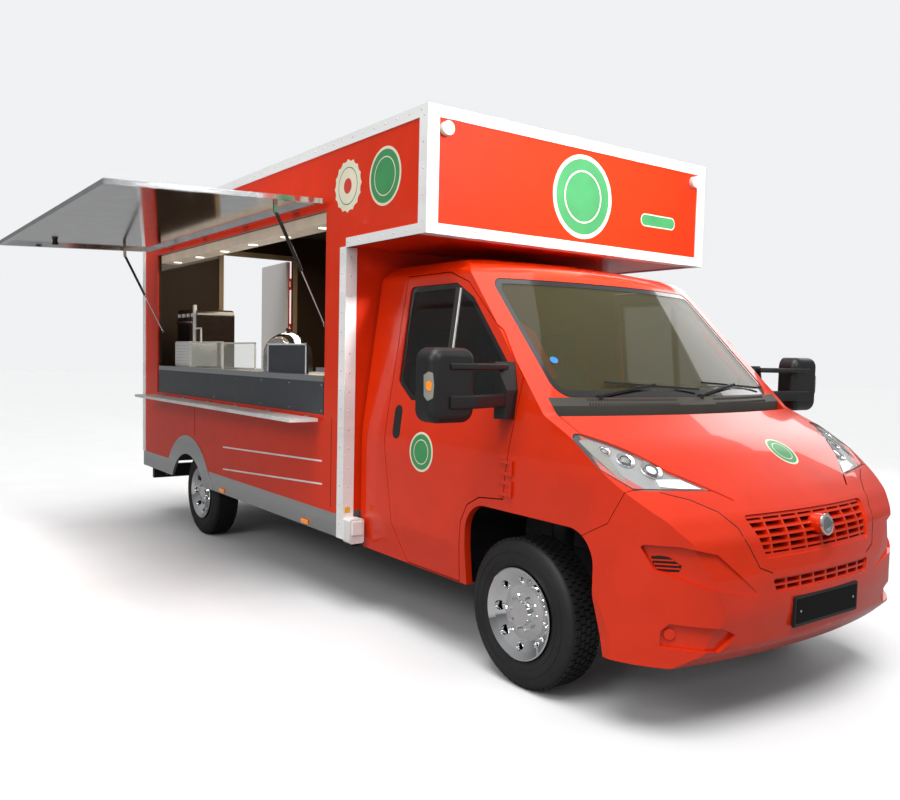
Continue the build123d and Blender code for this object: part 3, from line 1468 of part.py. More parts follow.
def make_skirts():
    """Brushed skirts below the side panels, with the polished surround of each rear wheel arch."""
    skirts = []
    half = box_half_width
    for side in side_signs:
        ends = sorted((side * (half - skirt_wall), side * half))
        band = box_between(box_rear_x, box_front_x, *ends, skirt_low_z, box_panel_low_z)
        skin = sorted((side * half, side * (half + arch_trim_proud)))
        ring = cylinder_y(arch_trim_radius, arch_x, arch_centre_z, *skin)
        ring = ring & box_between(arch_x - arch_trim_radius, arch_x + arch_trim_radius, *skin,
                                  skirt_low_z, box_top_z)
        hole_ends = sorted((side * (half - box_wall * 2), side * (half + overrun)))
        hole = cylinder_y(arch_open_radius, arch_x, arch_centre_z, *hole_ends)
        skirts.append(band + ring - hole)
    return {"skirts": Compound(children=skirts)}


def hinge_places(low, high):
    """Evenly spaced hinge centres along an edge."""
    step = (high - low) / hinge_count
    return [low + step * (place + 0.5) for place in range(hinge_count)]


def rear_hinge_places():
    step = (rear_door_high_z - rear_door_low_z) / hinge_count
    return [rear_door_low_z + step * (place + 0.5) for place in range(hinge_count)]


def hinge_fixed(barrel, pin, knuckle, leaf, drop=0.0):
    """The fixed part of a hinge along X: middle knuckle, leaf towards +Y and a pin through both sides."""
    middle = cylinder_x(barrel, 0, 0, -knuckle / 2, knuckle / 2)
    leaf_low = -barrel if drop == 0 else -drop
    leaf_high = barrel if drop == 0 else -drop + barrel
    plate = box_between(-knuckle / 2, knuckle / 2, 0, leaf, leaf_low, leaf_high)
    shaft = cylinder_x(pin, 0, 0, -knuckle, knuckle)
    return middle + plate + shaft


def hinge_moving(barrel, pin, knuckle, leaf, low, high):
    """The two outer knuckles of the same hinge, with their leaf towards -Y."""
    pieces = []
    start = knuckle / 2 + hinge_side_gap
    end = start + knuckle / 2
    for side in side_signs:
        ends = sorted((side * start, side * end))
        knuckle_solid = cylinder_x(barrel, 0, 0, *ends) + box_between(*ends, -leaf, 0, low, high)
        pieces.append(knuckle_solid - cylinder_x(pin + hinge_pin_gap, 0, 0, *ends))
    return pieces


def make_hatch():
    """The raised hatch: a framed panel with a recessed underside, hinge leaves and strut ears."""
    low_x = opening_rear_x - hatch_lap
    high_x = opening_front_x + hatch_lap
    top = hatch_wall - hatch_under
    panel = box_between(low_x, high_x, -hatch_reach, -hatch_heel, -hatch_under, top)
    recess = box_between(low_x + hatch_frame, high_x - hatch_frame, -hatch_reach + hatch_frame,
                         -hatch_heel - hatch_frame, -hatch_under - overrun, top - hatch_skin)
    hatch = panel - recess
    for x in hinge_places(opening_rear_x, opening_front_x):
        for piece in hinge_moving(hinge_barrel, hinge_pin, hinge_knuckle, hatch_heel + hatch_lap / 2,
                                  -hinge_barrel / 2, hinge_barrel):
            hatch = hatch + Pos(x, 0, 0) * piece
    for x in strut_places():
        for side in side_signs:
            inner = strut_eye_width / 2 + strut_side_gap
            ends = sorted((x + side * inner, x + side * (inner + strut_ear_wall)))
            ear = box_between(*ends, -strut_head_reach - strut_eye_radius,
                              -strut_head_reach + strut_eye_radius,
                              -strut_head_drop - strut_eye_radius, top - hatch_skin)
            hatch = hatch + ear
        hatch = hatch + cylinder_x(strut_pin_radius, -strut_head_reach, -strut_head_drop, x - inner,
                                   x + inner)
    return hatch_place() * hatch


def hatch_place():
    return Pos(0, -box_half_width - hinge_out, hinge_z) * Rot(hatch_droop, 0, 0)


def strut_places():
    return (opening_rear_x + strut_inset, opening_front_x - strut_inset)


def strut_ends():
    """The strut's head on the open hatch and its foot on the jamb, as (y, z)."""
    head = hatch_place() * Pos(0, -strut_head_reach, -strut_head_drop)
    return (head.position.Y, head.position.Z), (strut_foot_y, strut_foot_z)


def make_strut():
    """Tube and rod of one gas strut along -Z from its head, at the origin."""
    head, foot = strut_ends()
    length = math.hypot(head[0] - foot[0], head[1] - foot[1])
    eye = cylinder_x(strut_eye_radius, 0, 0, -strut_eye_width / 2, strut_eye_width / 2)
    tube = eye + cylinder_z(strut_tube_radius, 0, 0, -strut_tube_length, 0)
    tube = tube - cylinder_x(strut_tube_radius * 2, 0, 0, strut_eye_width / 2, strut_tube_radius * 2)
    tube = tube - cylinder_x(strut_tube_radius * 2, 0, 0, -strut_tube_radius * 2, -strut_eye_width / 2)
    tube = tube + cylinder_z(strut_tube_radius, 0, 0, -strut_tube_length, -strut_tube_radius * 2)
    tube = tube - cylinder_x(strut_pin_radius + strut_pin_gap, 0, 0, -strut_eye_width, strut_eye_width)
    bore = strut_rod_radius + strut_rod_gap
    tube = tube - cylinder_z(bore, 0, 0, -strut_tube_length - overrun, -strut_bore_top)
    rod = cylinder_z(strut_rod_radius, 0, 0, -length, -strut_tube_length + strut_rod_hold)
    rod_eye = cylinder_x(strut_eye_radius, 0, -length, -strut_eye_width / 2, strut_eye_width / 2)
    rod = rod + rod_eye
    rod = rod - cylinder_x(strut_pin_radius + strut_rod_gap, 0, -length, -strut_eye_width, strut_eye_width)
    return tube, rod


def make_struts():
    head, foot = strut_ends()
    lean = math.degrees(math.atan2(foot[0] - head[0], head[1] - foot[1]))
    tube, rod = make_strut()
    nodes = {}
    for x, name in zip(strut_places(), ("rear", "front")):
        place = Pos(x, *head) * Rot(lean, 0, 0)
        nodes["strut_tube_" + name] = place * tube
        nodes["strut_rod_" + name] = place * rod
    return nodes


shelf_hinge_z = shelf_top_z - shelf_wall / 2


def make_shelf():
    """The fold-down shelf under the opening."""
    axis_y = -box_half_width - shelf_hinge_out
    plate = box_between(shelf_rear_x, shelf_front_x, axis_y - shelf_reach, axis_y - shelf_gap,
                        shelf_hinge_z - shelf_wall / 2, shelf_hinge_z + shelf_wall / 2)
    for x in hinge_places(shelf_rear_x, shelf_front_x):
        for piece in hinge_moving(shelf_barrel, shelf_pin, hinge_knuckle, shelf_gap + shelf_wall / 2,
                                  -shelf_barrel / 2, shelf_barrel / 2):
            plate = plate + Pos(x, axis_y, shelf_hinge_z) * piece
    return plate


def make_kitchen():
    """Serving counter with its apron, back counter, header beam and what stands on the counter."""
    nodes = {}
    front_x = opening_front_x - counter_end_gap
    rear_x = opening_rear_x + counter_end_gap
    inner_y = counter_front_y + counter_depth
    top = box_between(rear_x, front_x, counter_front_y, inner_y, counter_top_z - counter_wall, counter_top_z)
    cabinet_y = -panel_inner_y + trim_gap
    low = box_floor_z
    cabinet = box_between(rear_x, front_x, cabinet_y, inner_y - counter_wall, low,
                          counter_top_z - counter_wall)
    back = box_between(rear_x, back_counter_front_x, panel_inner_y - trim_gap - counter_depth,
                       panel_inner_y - trim_gap, low, counter_top_z)
    for side in side_signs:
        ends = sorted((side * (wheel_box_inner_y - tub_wall - trim_gap), side * (panel_inner_y + overrun)))
        tub = box_between(-wheelbase - wheel_box_reach - tub_wall - trim_gap,
                          -wheelbase + wheel_box_reach + tub_wall + trim_gap, *ends,
                          low - overrun, wheel_box_top_z + tub_wall + trim_gap)
        cabinet = cabinet - tub
        back = back - tub
    nodes["counters"] = Compound(children=[top + cabinet, back])
    nodes["apron"] = box_between(rear_x, front_x, counter_front_y, cabinet_y, opening_low_z,
                                 counter_top_z - counter_wall)
    nodes["header_beam"] = box_between(opening_rear_x, opening_front_x, -panel_inner_y,
                                       -panel_inner_y + header_depth,
                                       opening_top_z - header_drop, opening_top_z + header_drop / 2)
    oven = box_between(oven_rear_x, oven_front_x, oven_low_y, oven_high_y, counter_top_z, oven_top_z)
    nodes["oven"] = fillet(oven.edges().filter_by(Axis.Y).sort_by(Axis.Z)[-2:], oven_round)
    case = box_between(case_rear_x, case_front_x, case_low_y, case_high_y, counter_top_z, case_top_z)
    hollow = box_between(case_rear_x + case_wall, case_front_x - case_wall, case_low_y + case_wall,
                         case_high_y + overrun, counter_top_z + case_wall, case_top_z - case_wall)
    nodes["display_case"] = case - hollow
    dome = Pos(dome_x, dome_y, counter_top_z + dome_base) * Sphere(dome_radius)
    dome = dome & box_between(dome_x - dome_radius, dome_x + dome_radius, dome_y - dome_radius,
                              dome_y + dome_radius, counter_top_z + dome_base, oven_top_z)
    stand = cylinder_z(dome_radius, dome_x, dome_y, counter_top_z, counter_top_z + dome_base)
    nodes["warmer"] = dome + stand
    nodes["menu_board"] = box_between(board_rear_x, board_front_x, board_y - board_wall, board_y,
                                      counter_top_z, counter_top_z + board_high)
    return nodes


def make_fittings():
    """Lamps, the power inlet and the rear bumper."""
    nodes = {}
    lamps = []
    for side in side_signs:
        lamps.append(cylinder_x(marker_radius, side * marker_y, marker_z, overcab_front_x,
                                overcab_front_x + marker_deep))
        lamps.append(box_between(box_rear_x - rear_lamp_deep, box_rear_x,
                                 side * rear_lamp_y - rear_lamp_wide / 2,
                                 side * rear_lamp_y + rear_lamp_wide / 2,
                                 rear_lamp_low_z, rear_lamp_low_z + rear_lamp_high))
    nodes["lamps"] = Compound(children=lamps)
    inlet = box_between(box_front_x + trim_proud, box_front_x + trim_proud + inlet_deep,
                        -box_half_width, -box_half_width + inlet_wide, inlet_low_z, inlet_low_z + inlet_high)
    nodes["power_inlet"] = fillet(inlet.edges().filter_by(Axis.X), inlet_round)
    beam = box_between(box_rear_x, box_rear_x + rear_bumper_deep, -rear_bumper_half, rear_bumper_half,
                       rear_bumper_low_z, rear_bumper_low_z + rear_bumper_high)
    for side in side_signs:
        arm = box_between(box_rear_x, rail_rear_x + rail_wide, side * rail_y - rail_wide / 2,
                          side * rail_y + rail_wide / 2,
                          rear_bumper_low_z + rear_bumper_high - rail_wall, rail_low_z)
        beam = beam + arm
    for y in side_signs:
        for z in side_signs:
            beam = beam - cylinder_x(tow_hole_radius, y * tow_half_wide, tow_z + z * tow_half_high,
                                     box_rear_x - overrun, box_rear_x + rear_bumper_deep + overrun)
    nodes["rear_bumper"] = beam
    return nodes


def make_rear_door():
    """The staff door in the rear wall, drawn shut and then swung open."""
    leaf = box_between(box_rear_x, box_rear_x + rear_door_wall, rear_door_right_y + rear_door_gap,
                       rear_door_left_y - rear_door_gap, rear_door_low_z + rear_door_gap,
                       rear_door_high_z - rear_door_gap)
    handle_y = rear_door_right_y + rear_handle_reach * 2
    handle_z = (rear_door_low_z + rear_door_high_z) / 2 - rear_handle_reach * 8
    handle = box_between(box_rear_x - rear_handle_reach, box_rear_x, handle_y, handle_y + rear_lamp_deep,
                         handle_z, handle_z + rear_handle_reach * 4)
    grip = box_between(box_rear_x - rear_handle_reach + rear_lamp_deep / 2, box_rear_x, handle_y,
                       handle_y + rear_lamp_deep, handle_z + rear_lamp_deep / 2,
                       handle_z + rear_handle_reach * 4 - rear_lamp_deep / 2)
    door = leaf + handle - grip
    for z in rear_hinge_places():
        for piece in hinge_moving(rear_hinge_barrel, rear_hinge_pin, hinge_knuckle,
                                  rear_hinge_leaf, -rear_hinge_out, -rear_hinge_out + rear_hinge_barrel):
            door = door + Pos(rear_hinge_x, rear_door_left_y, z) * Rot(0, -90, 0) * piece
    axis = Axis((rear_hinge_x, rear_door_left_y, 0), (0, 0, 1))
    return door.rotate(axis, -rear_door_open)


rear_hinge_x = box_rear_x - rear_hinge_out


def make_all():
    nodes = {}
    nodes.update(make_cab())
    nodes.update(make_cab_inside())
    nodes["wipers"] = make_wipers()
    nodes.update(make_wheels())
    nodes.update(make_running_gear())
    nodes.update(make_chassis())
    nodes.update(make_box())
    nodes.update(make_box_trims())
    nodes.update(make_skirts())
    nodes["hatch"] = make_hatch()
    nodes.update(make_struts())
    nodes["shelf"] = make_shelf()
    nodes.update(make_kitchen())
    nodes.update(make_fittings())
    nodes["rear_door"] = make_rear_door()
    return nodes


# The footprint runs from the rear door's open edge to the nose and from the hatch's edge to
# the left-hand mirror.
hatch_turn = math.radians(hatch_droop)
hatch_tip_y = (
    -box_half_width - hinge_out
    - hatch_reach * math.cos(hatch_turn)
    - (hatch_wall - hatch_under) * math.sin(hatch_turn)
)
door_turn = math.radians(rear_door_open)
door_reach = rear_door_left_y - rear_door_right_y - rear_door_gap
door_tip_x = (
    rear_hinge_x
    + (rear_hinge_out + rear_door_wall) * math.cos(door_turn)
    - door_reach * math.sin(door_turn)
)
middle_x = (nose_x + door_tip_x) / 2
middle_y = (hatch_tip_y + mirror_outer_y) / 2

if __name__ == "__main__":
    os.makedirs("parts", exist_ok=True)
    for name, shape in make_all().items():
        moved = [Pos(-middle_x, -middle_y, 0) * solid for solid in shape.solids()]
        whole = moved[0] if len(moved) == 1 else Compound(children=moved)
        export_step(whole, "parts/" + name + ".step")
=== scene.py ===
import math

import bmesh
import bpy
from mathutils import Matrix, Vector
from mathutils.bvhtree import BVHTree


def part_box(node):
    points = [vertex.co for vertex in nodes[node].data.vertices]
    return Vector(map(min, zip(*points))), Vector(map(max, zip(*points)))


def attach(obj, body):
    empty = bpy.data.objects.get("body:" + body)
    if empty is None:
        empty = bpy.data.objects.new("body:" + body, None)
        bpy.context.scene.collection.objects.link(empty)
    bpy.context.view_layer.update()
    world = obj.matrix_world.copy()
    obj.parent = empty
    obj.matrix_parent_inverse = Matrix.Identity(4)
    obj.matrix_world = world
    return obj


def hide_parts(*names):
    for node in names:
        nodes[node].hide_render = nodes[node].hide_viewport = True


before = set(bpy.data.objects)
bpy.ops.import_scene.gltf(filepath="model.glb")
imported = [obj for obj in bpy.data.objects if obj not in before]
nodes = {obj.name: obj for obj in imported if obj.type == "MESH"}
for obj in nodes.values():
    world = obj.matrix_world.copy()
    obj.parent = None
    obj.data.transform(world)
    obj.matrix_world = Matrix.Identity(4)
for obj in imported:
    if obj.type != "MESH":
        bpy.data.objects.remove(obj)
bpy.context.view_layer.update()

# %% [markdown]
# A food truck is a van cab with a tall box on its back. The solid model already holds every
# panel, hinge and wheel in real metres, so this lesson dresses it: a camera, light, paint,
# metal, glass and the small things that a solid model leaves out.
#
# The measurements below are easier to read from the truck's own axles than from the middle
# of its footprint, so one helper turns "metres ahead of the front axle" into scene metres.

# %% The truck's own measuring frame
wheel_low, wheel_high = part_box("tyre_front_right")
rear_low, rear_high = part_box("tyre_rear_right")
left_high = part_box("tyre_front_left")[1]
front_axle_x = (wheel_low.x + wheel_high.x) / 2
centre_y = (wheel_low.y + left_high.y) / 2
rear_axle_x = (rear_low.x + rear_high.x) / 2


def at(x, y, z):
    """A point measured ahead of the front axle, to the left of the middle and above the ground."""
    return Vector((x + front_axle_x, y + centre_y, z))


def stand(name, data, turn=None):
    """Puts a new object with this data in the scene."""
    thing = bpy.data.objects.new(name, data)
    if turn:
        thing.matrix_world = turn
    bpy.context.scene.collection.objects.link(thing)
    return thing


print("front axle at", round(front_axle_x, 3), "middle line at", round(centre_y, 3))

# %% [markdown]
# The camera stands where the photographer stood: ahead of the truck on its right, at chest
# height, close enough for the nose to loom. Its place came from fitting known lengths of the
# truck to the picture, and a small shift keeps upright edges where they were.

# %% Camera
camera_yaw = 2.524
camera_pitch = -0.0627
camera_roll = 0.0204
picture_wide, picture_high, sensor_mm = 900, 800, 36
focal_px = 836.9
centre_px = (421.4655, 409.7037)
eye = at(2.9502, -3.6884, 1.5898)
forward = Vector((
    math.cos(camera_yaw) * math.cos(camera_pitch),
    math.sin(camera_yaw) * math.cos(camera_pitch),
    math.sin(camera_pitch),
))
level = Vector((math.sin(camera_yaw), -math.cos(camera_yaw), 0))
upright = level.cross(forward)
right_way = level * math.cos(camera_roll) + upright * math.sin(camera_roll)
up_way = upright * math.cos(camera_roll) - level * math.sin(camera_roll)
camera_data = bpy.data.cameras.new("camera")
camera_data.sensor_width = sensor_mm
camera_data.lens = focal_px * sensor_mm / picture_wide
camera_data.shift_x = (picture_wide / 2 - centre_px[0]) / picture_wide
camera_data.shift_y = (centre_px[1] - picture_high / 2) / picture_wide
camera_data.clip_end = 200
turn = Matrix((right_way, up_way, -forward)).transposed().to_4x4()
bpy.context.scene.camera = stand("camera", camera_data, Matrix.Translation(eye) @ turn)
print("camera at", [round(c, 2) for c in eye], "lens", round(camera_data.lens, 1))

# %% [markdown]
# Shaders and node trees are built from nodes whose inputs get a value or a link. Three helpers
# do this for the sky, every finish and the tree that repeats shapes further down.

# %% Helpers for nodes


def fill(tree, node, inputs):
    """Gives each input of a node its value, or a link where a socket is given."""
    for label, value in inputs.items():
        if isinstance(value, bpy.types.NodeSocket):
            tree.links.new(value, node.inputs[label])
        else:
            node.inputs[label].default_value = value


def grow(tree, kind, inputs, out=None, **traits):
    """Adds a node to a tree and fills it; returns the node, or the output that is named."""
    node = tree.nodes.new(kind)
    for trait, value in traits.items():
        setattr(node, trait, value)
    fill(tree, node, inputs)
    return node.outputs[out] if out else node


def blend(tree, factor, *stops):
    """A ramp between two stops of (position, colour)."""
    ramp = grow(tree, "ShaderNodeValToRGB", {"Fac": factor})
    for stop, (position, colour) in zip(ramp.color_ramp.elements, stops):
        stop.position, stop.color = position, (*colour, 1)
    return ramp.outputs["Color"]


print("node helpers ready")

# %% [markdown]
# A product picture wants a pale room with one bright ceiling, so that upright panels keep their
# deep colour and only what faces up catches a highlight. The sky colour here runs from grey at
# the horizon to white overhead, while the camera sees it plain white. A very wide sun evens out
# the floor, area lamps shape the box and the long side, and two narrow tubes draw highlights.

# %% Floor, world and lamps
floor_mesh = bpy.data.meshes.new("floor")
floor_build = bmesh.new()
bmesh.ops.create_grid(floor_build, x_segments=8, y_segments=8, size=60)
floor_build.to_mesh(floor_mesh)
floor_build.free()
floor = stand("floor", floor_mesh)

world = bpy.data.worlds.new("hall")
world.use_nodes = True
sky = world.node_tree
sky_place = grow(sky, "ShaderNodeTexCoord", {}, "Generated")
sky_high = grow(sky, "ShaderNodeSeparateXYZ", {"Vector": sky_place}, "Z")
sky_tone = grow(sky, "ShaderNodeMix", {
    "Factor": grow(sky, "ShaderNodeLightPath", {}, "Is Camera Ray"),
    "A": blend(sky, sky_high, (0.02, (0.30, 0.30, 0.31)), (0.75, (1.0, 1.0, 1.0))),
    "B": (1.75, 1.77, 1.80, 1),
}, "Result", data_type="RGBA")
fill(sky, sky.nodes["Background"], {"Color": sky_tone, "Strength": 0.5})
bpy.context.scene.world = world
bpy.context.scene.view_settings.view_transform = "Standard"


def lamp_turn(way):
    """The turn of a lamp whose light comes from a direction."""
    return way.to_track_quat("Z", "Y").to_matrix().to_4x4()


def area_lamp(name, place, aim, wide, long, power, tint=(1, 1, 1)):
    """One soft panel of light, turned to face a point."""
    data = bpy.data.lights.new(name, "AREA")
    data.shape = "RECTANGLE"
    data.size, data.size_y = wide, long
    data.energy, data.color = power, tint
    return stand(name, data, Matrix.Translation(place) @ lamp_turn(place - aim))


middle = at(-2.0, 0, 1.2)
area_lamp("panel_over", at(-1.0, -0.5, 7.0), middle, 6.0, 4.0, 90)
area_lamp("panel_right", at(1.5, -8.0, 5.0), middle, 5.0, 2.5, 175)
area_lamp("panel_front", at(7.0, 1.5, 5.4), at(-0.6, 0, 2.75), 2.0, 1.0, 40).data.spread = math.radians(28)
area_lamp("tube_right", at(5.0, -6.5, 3.6), at(0.3, -0.8, 0.8), 2.6, 0.12, 16)
area_lamp("tube_over", at(3.2, -1.8, 5.0), at(0.5, 0, 1.1), 2.6, 0.10, 16)
area_lamp("panel_left", at(-3.0, 8.0, 5.0), middle, 6.0, 3.0, 120)
area_lamp("kitchen_light", at(-3.3, -0.2, 2.72), at(-3.3, -0.4, 1.2), 2.4, 0.5, 42, (1.0, 0.86, 0.66))
ceiling = bpy.data.lights.new("ceiling", "SUN")
ceiling.energy, ceiling.angle = 2.3, math.radians(35)
stand("ceiling", ceiling, lamp_turn(Vector((0.25, -0.30, 1.0))))

# %% [markdown]
# Real finishes are never one flat colour. Each material here starts from the same recipe: a
# broad noise shifts the colour a little, a fine one shifts the roughness and gives a shallow
# bump. Coordinates come from the object itself, so the grain keeps its real size. A wall that
# is painted outside and lined inside takes a second colour on one side of a plane.

# %% A recipe for finishes


def finish(name, colour, rough, metal=0.0, coat=0.0, shift=0.06, grain=40.0, bump=0.02,
           stretch=(1, 1, 1), beyond=None, glow=0.0, mirror=0.5):
    """A shader that varies by noise. beyond = (way, distance, colour, roughness) past a plane."""
    material = bpy.data.materials.new(name)
    material.use_nodes = True
    tree = material.node_tree
    place = grow(tree, "ShaderNodeTexCoord", {}, "Object")
    spread = grow(tree, "ShaderNodeMapping", {"Vector": place, "Scale": stretch}, "Vector")
    cloud, fine = (grow(tree, "ShaderNodeTexNoise", {"Vector": spread, "Scale": scale, "Detail": detail}, "Fac")
                   for scale, detail in ((min(grain * 0.1, 6.0), 5), (grain, 2)))
    tone = blend(tree, cloud, (0.3, [c * (1 - shift * 2) for c in colour]),
                 (0.7, [min(1, c * (1 + shift)) for c in colour]))
    gloss = grow(tree, "ShaderNodeMapRange", {"Value": fine, "To Min": rough * 0.85,
                                              "To Max": min(1, rough * 1.15)}, "Result")
    if beyond:
        way, distance, other, other_rough = beyond
        reach = grow(tree, "ShaderNodeVectorMath", {0: place, 1: way}, "Value", operation="DOT_PRODUCT")
        past = grow(tree, "ShaderNodeMath", {0: reach, 1: distance}, "Value", operation="GREATER_THAN")
        tone = grow(tree, "ShaderNodeMix", {"Factor": past, "A": tone, "B": (*other, 1)}, "Result",
                    data_type="RGBA")
        gloss = grow(tree, "ShaderNodeMix", {"Factor": past, "A": gloss, "B": other_rough}, "Result")
    relief = grow(tree, "ShaderNodeBump", {"Strength": bump, "Distance": 0.002, "Height": fine}, "Normal")
    shader = tree.nodes["Principled BSDF"]
    fill(tree, shader, {"Metallic": metal, "Coat Weight": coat, "Coat Roughness": 0.03,
                        "Specular IOR Level": mirror, "Base Color": tone, "Roughness": gloss, "Normal": relief})
    if glow:
        fill(tree, shader, {"Emission Color": tone, "Emission Strength": glow})
    return material


red = (0.74, 0.030, 0.002)
lining = (0.040, 0.022, 0.013)
cab_red = finish("cab_red", red, 0.30, coat=0.6, shift=0.03, grain=900, bump=0.006, mirror=0.2)
panel_red = finish("panel_red", red, 0.36, coat=0.2, shift=0.03, grain=500, bump=0.01, mirror=0.2)
bright_trim = finish("bright_trim", (0.92, 0.92, 0.91), 0.36, grain=300, stretch=(0.05, 0.05, 1), bump=0.05)
brushed = finish("brushed", (0.55, 0.56, 0.57), 0.30, metal=1.0, grain=420, stretch=(0.03, 1, 1), bump=0.06)
polished = finish("polished", (0.76, 0.77, 0.78), 0.10, metal=1.0, grain=60, bump=0.008)
chrome = finish("chrome", (0.86, 0.87, 0.88), 0.05, metal=1.0, grain=90, bump=0.004)
white_panel = finish("white_panel", (0.80, 0.80, 0.78), 0.30, coat=0.2, grain=200, bump=0.02)
black_plastic = finish("black_plastic", (0.010, 0.010, 0.011), 0.42, grain=1400, bump=0.10)
gloss_black = finish("gloss_black", (0.008, 0.008, 0.009), 0.12, coat=0.6, grain=200, bump=0.01)
grey_plastic = finish("grey_plastic", (0.040, 0.038, 0.030), 0.48, grain=1200, bump=0.12)
# Dark for real joints and slits, and also for painted shade behind the grille, in the side intakes and in the lamp
# and bumper gaps.
seam_black = finish("seam_black", (0.012, 0.004, 0.003), 0.7, grain=300, bump=0.02)
rubber = finish("rubber", (0.012, 0.012, 0.013), 0.60, grain=500, bump=0.12, shift=0.2)
floor_sheet = finish("floor_sheet", (0.10, 0.10, 0.10), 0.6, grain=900, bump=0.2)
slate = finish("slate", (0.045, 0.052, 0.062), 0.32, grain=260, bump=0.02)
oven_brown = finish("oven_brown", (0.022, 0.014, 0.011), 0.26, coat=0.3, grain=120, bump=0.02)
frame_black = finish("frame_black", (0.02, 0.02, 0.022), 0.5, grain=220, bump=0.1)
iron = finish("iron", (0.10, 0.10, 0.10), 0.6, metal=0.6, grain=160, bump=0.25)
# The header beam's cream takes a faint glow: painted light, as the beam is no lamp.
cream = finish("cream", (0.74, 0.62, 0.48), 0.35, grain=160, bump=0.01, glow=0.25)
label_cream = finish("label_cream", (0.86, 0.80, 0.62), 0.4, grain=90, bump=0.01)
label_green = finish("label_green", (0.05, 0.30, 0.10), 0.4, coat=0.2, grain=90, bump=0.01)
label_red = finish("label_red", (0.66, 0.05, 0.03), 0.4, grain=90, bump=0.01)
label_white = finish("label_white", (0.86, 0.86, 0.84), 0.4, grain=90, bump=0.01)
amber = finish("amber", (0.95, 0.26, 0.01), 0.2, coat=0.5, grain=90, glow=0.3)
spot_white = finish("spot_white", (1.0, 0.90, 0.72), 0.3, grain=40, glow=3.0)
lens_ridged = finish("lens_ridged", (0.30, 0.30, 0.26), 0.16, coat=0.7, grain=120, bump=0.05)
strip_white = finish("strip_white", (0.95, 0.96, 0.98), 0.12, coat=0.5, grain=80, glow=0.35)
print("finishes", len(bpy.data.materials))

# %% [markdown]
# Body panels are sheet metal painted on the outside. Seen through the hatch, the box has a dark
# brown lining, so its walls take the brown on their inner side. Lamps at the front are white and
# those at the rear are red, in one solid, so the same trick splits them.

# %% Two-sided finishes


def two_sided(name, way, edge, inside, rough=0.5, base=red):
    """A painted wall whose far side, past a plane, is lined in another colour."""
    return finish(name, base, 0.36, coat=0.2, shift=0.03, grain=500, bump=0.01, mirror=0.2,
                  beyond=(way, Vector(way).dot(edge), inside, rough))


side_right_paint = two_sided("side_right_paint", (0, 1, 0), at(0, -1.125, 0), lining)
side_left_paint = two_sided("side_left_paint", (0, -1, 0), at(0, 1.125, 0), lining)
rear_paint = two_sided("rear_paint", (1, 0, 0), at(-5.375, 0, 0), lining)
front_paint = two_sided("front_paint", (-1, 0, 0), at(-1.462, 0, 0), lining)
roof_paint = two_sided("roof_paint", (0, 0, -1), at(0, 0, 2.87), (0.10, 0.08, 0.06), base=(0.78, 0.78, 0.76))
leaf_turn = math.radians(5)
door_way = (-math.sin(leaf_turn), -math.cos(leaf_turn), 0)
rear_door_paint = two_sided("rear_door_paint", door_way, at(-5.393, 0.430, 0), (0.80, 0.80, 0.78), 0.4)
lamp_paint = finish("lamp_paint", (0.82, 0.80, 0.74), 0.2, coat=0.4, grain=60,
                    beyond=((-1, 0, 0), -at(-5, 0, 0).x, (0.42, 0.012, 0.008), 0.18))
print("two-sided finishes", len([m for m in bpy.data.materials if m.name.endswith("paint")]))

# %% [markdown]
# Glass needs care: a thin sheet that bends light twice looks dark from some sides. A shader
# that is mostly see-through, with a faint tint and a clear coat of reflection, reads as a car
# window and stays light to render.

# %% Glass


def clear_sheet(name, tint, see_through):
    """A see-through sheet with a faint streaky tint."""
    material = bpy.data.materials.new(name)
    material.use_nodes = True
    tree = material.node_tree
    place = grow(tree, "ShaderNodeTexCoord", {}, "Object")
    streak = grow(tree, "ShaderNodeTexNoise", {"Vector": place, "Scale": 3}, "Fac")
    tone = blend(tree, streak, (0.0, tint), (1.0, [c * 1.3 for c in tint]))
    fill(tree, tree.nodes["Principled BSDF"], {"Base Color": tone, "Roughness": 0.03, "Alpha": 1 - see_through})
    return material


window_glass = clear_sheet("window_glass", (0.050, 0.046, 0.018), 0.48)
side_glass = clear_sheet("side_glass", (0.010, 0.011, 0.010), 0.45)
case_glass = clear_sheet("case_glass", (0.45, 0.50, 0.50), 0.80)
lens_clear = clear_sheet("lens_clear", (0.50, 0.52, 0.53), 0.86)

print("glass", len([m for m in bpy.data.materials if "glass" in m.name or "clear" in m.name]))

# %% [markdown]
# Now every solid gets its finish. The table lists, for each finish, the solids that wear it.

# %% Paint every solid
wearers = (
    (cab_red, "cab_shell bonnet cab_door_right cab_door_left front_bumper grille"),
    (grey_plastic, "cowl"), (lens_clear, "headlamps"), (window_glass, "windscreen"),
    (side_glass, "door_glass_right door_glass_left"), (floor_sheet, "cab_floor seats box_floor"),
    (black_plastic, "door_fittings_right door_fittings_left wipers dashboard_and_wheel wheel_liners "
                    "strut_tube_front strut_tube_rear"),
    (iron, "engine_block knuckle_right knuckle_left"),
    (frame_black, "chassis_frame front_suspension rear_axle rear_bumper"),
    (side_right_paint, "box_side_right"), (side_left_paint, "box_side_left"), (front_paint, "box_front"),
    (rear_paint, "box_rear"), (rear_door_paint, "rear_door"), (roof_paint, "box_roof"),
    (bright_trim, "box_trims"), (brushed, "skirts counters"), (lamp_paint, "lamps"),
    (white_panel, "power_inlet shelf"), (polished, "hatch warmer strut_rod_front strut_rod_rear"),
    (cream, "header_beam"), (slate, "apron menu_board"), (oven_brown, "oven"), (case_glass, "display_case"),
    (rubber, "tyre_front_right tyre_front_left tyre_rear_right tyre_rear_left"),
    (chrome, "rim_front_right rim_front_left rim_rear_right rim_rear_left"),
)
paint = {name: material for material, names in wearers for name in names.split()}
for name, node in nodes.items():
    node.data.materials.clear()
    node.data.materials.append(paint[name])
print("painted", len(nodes))

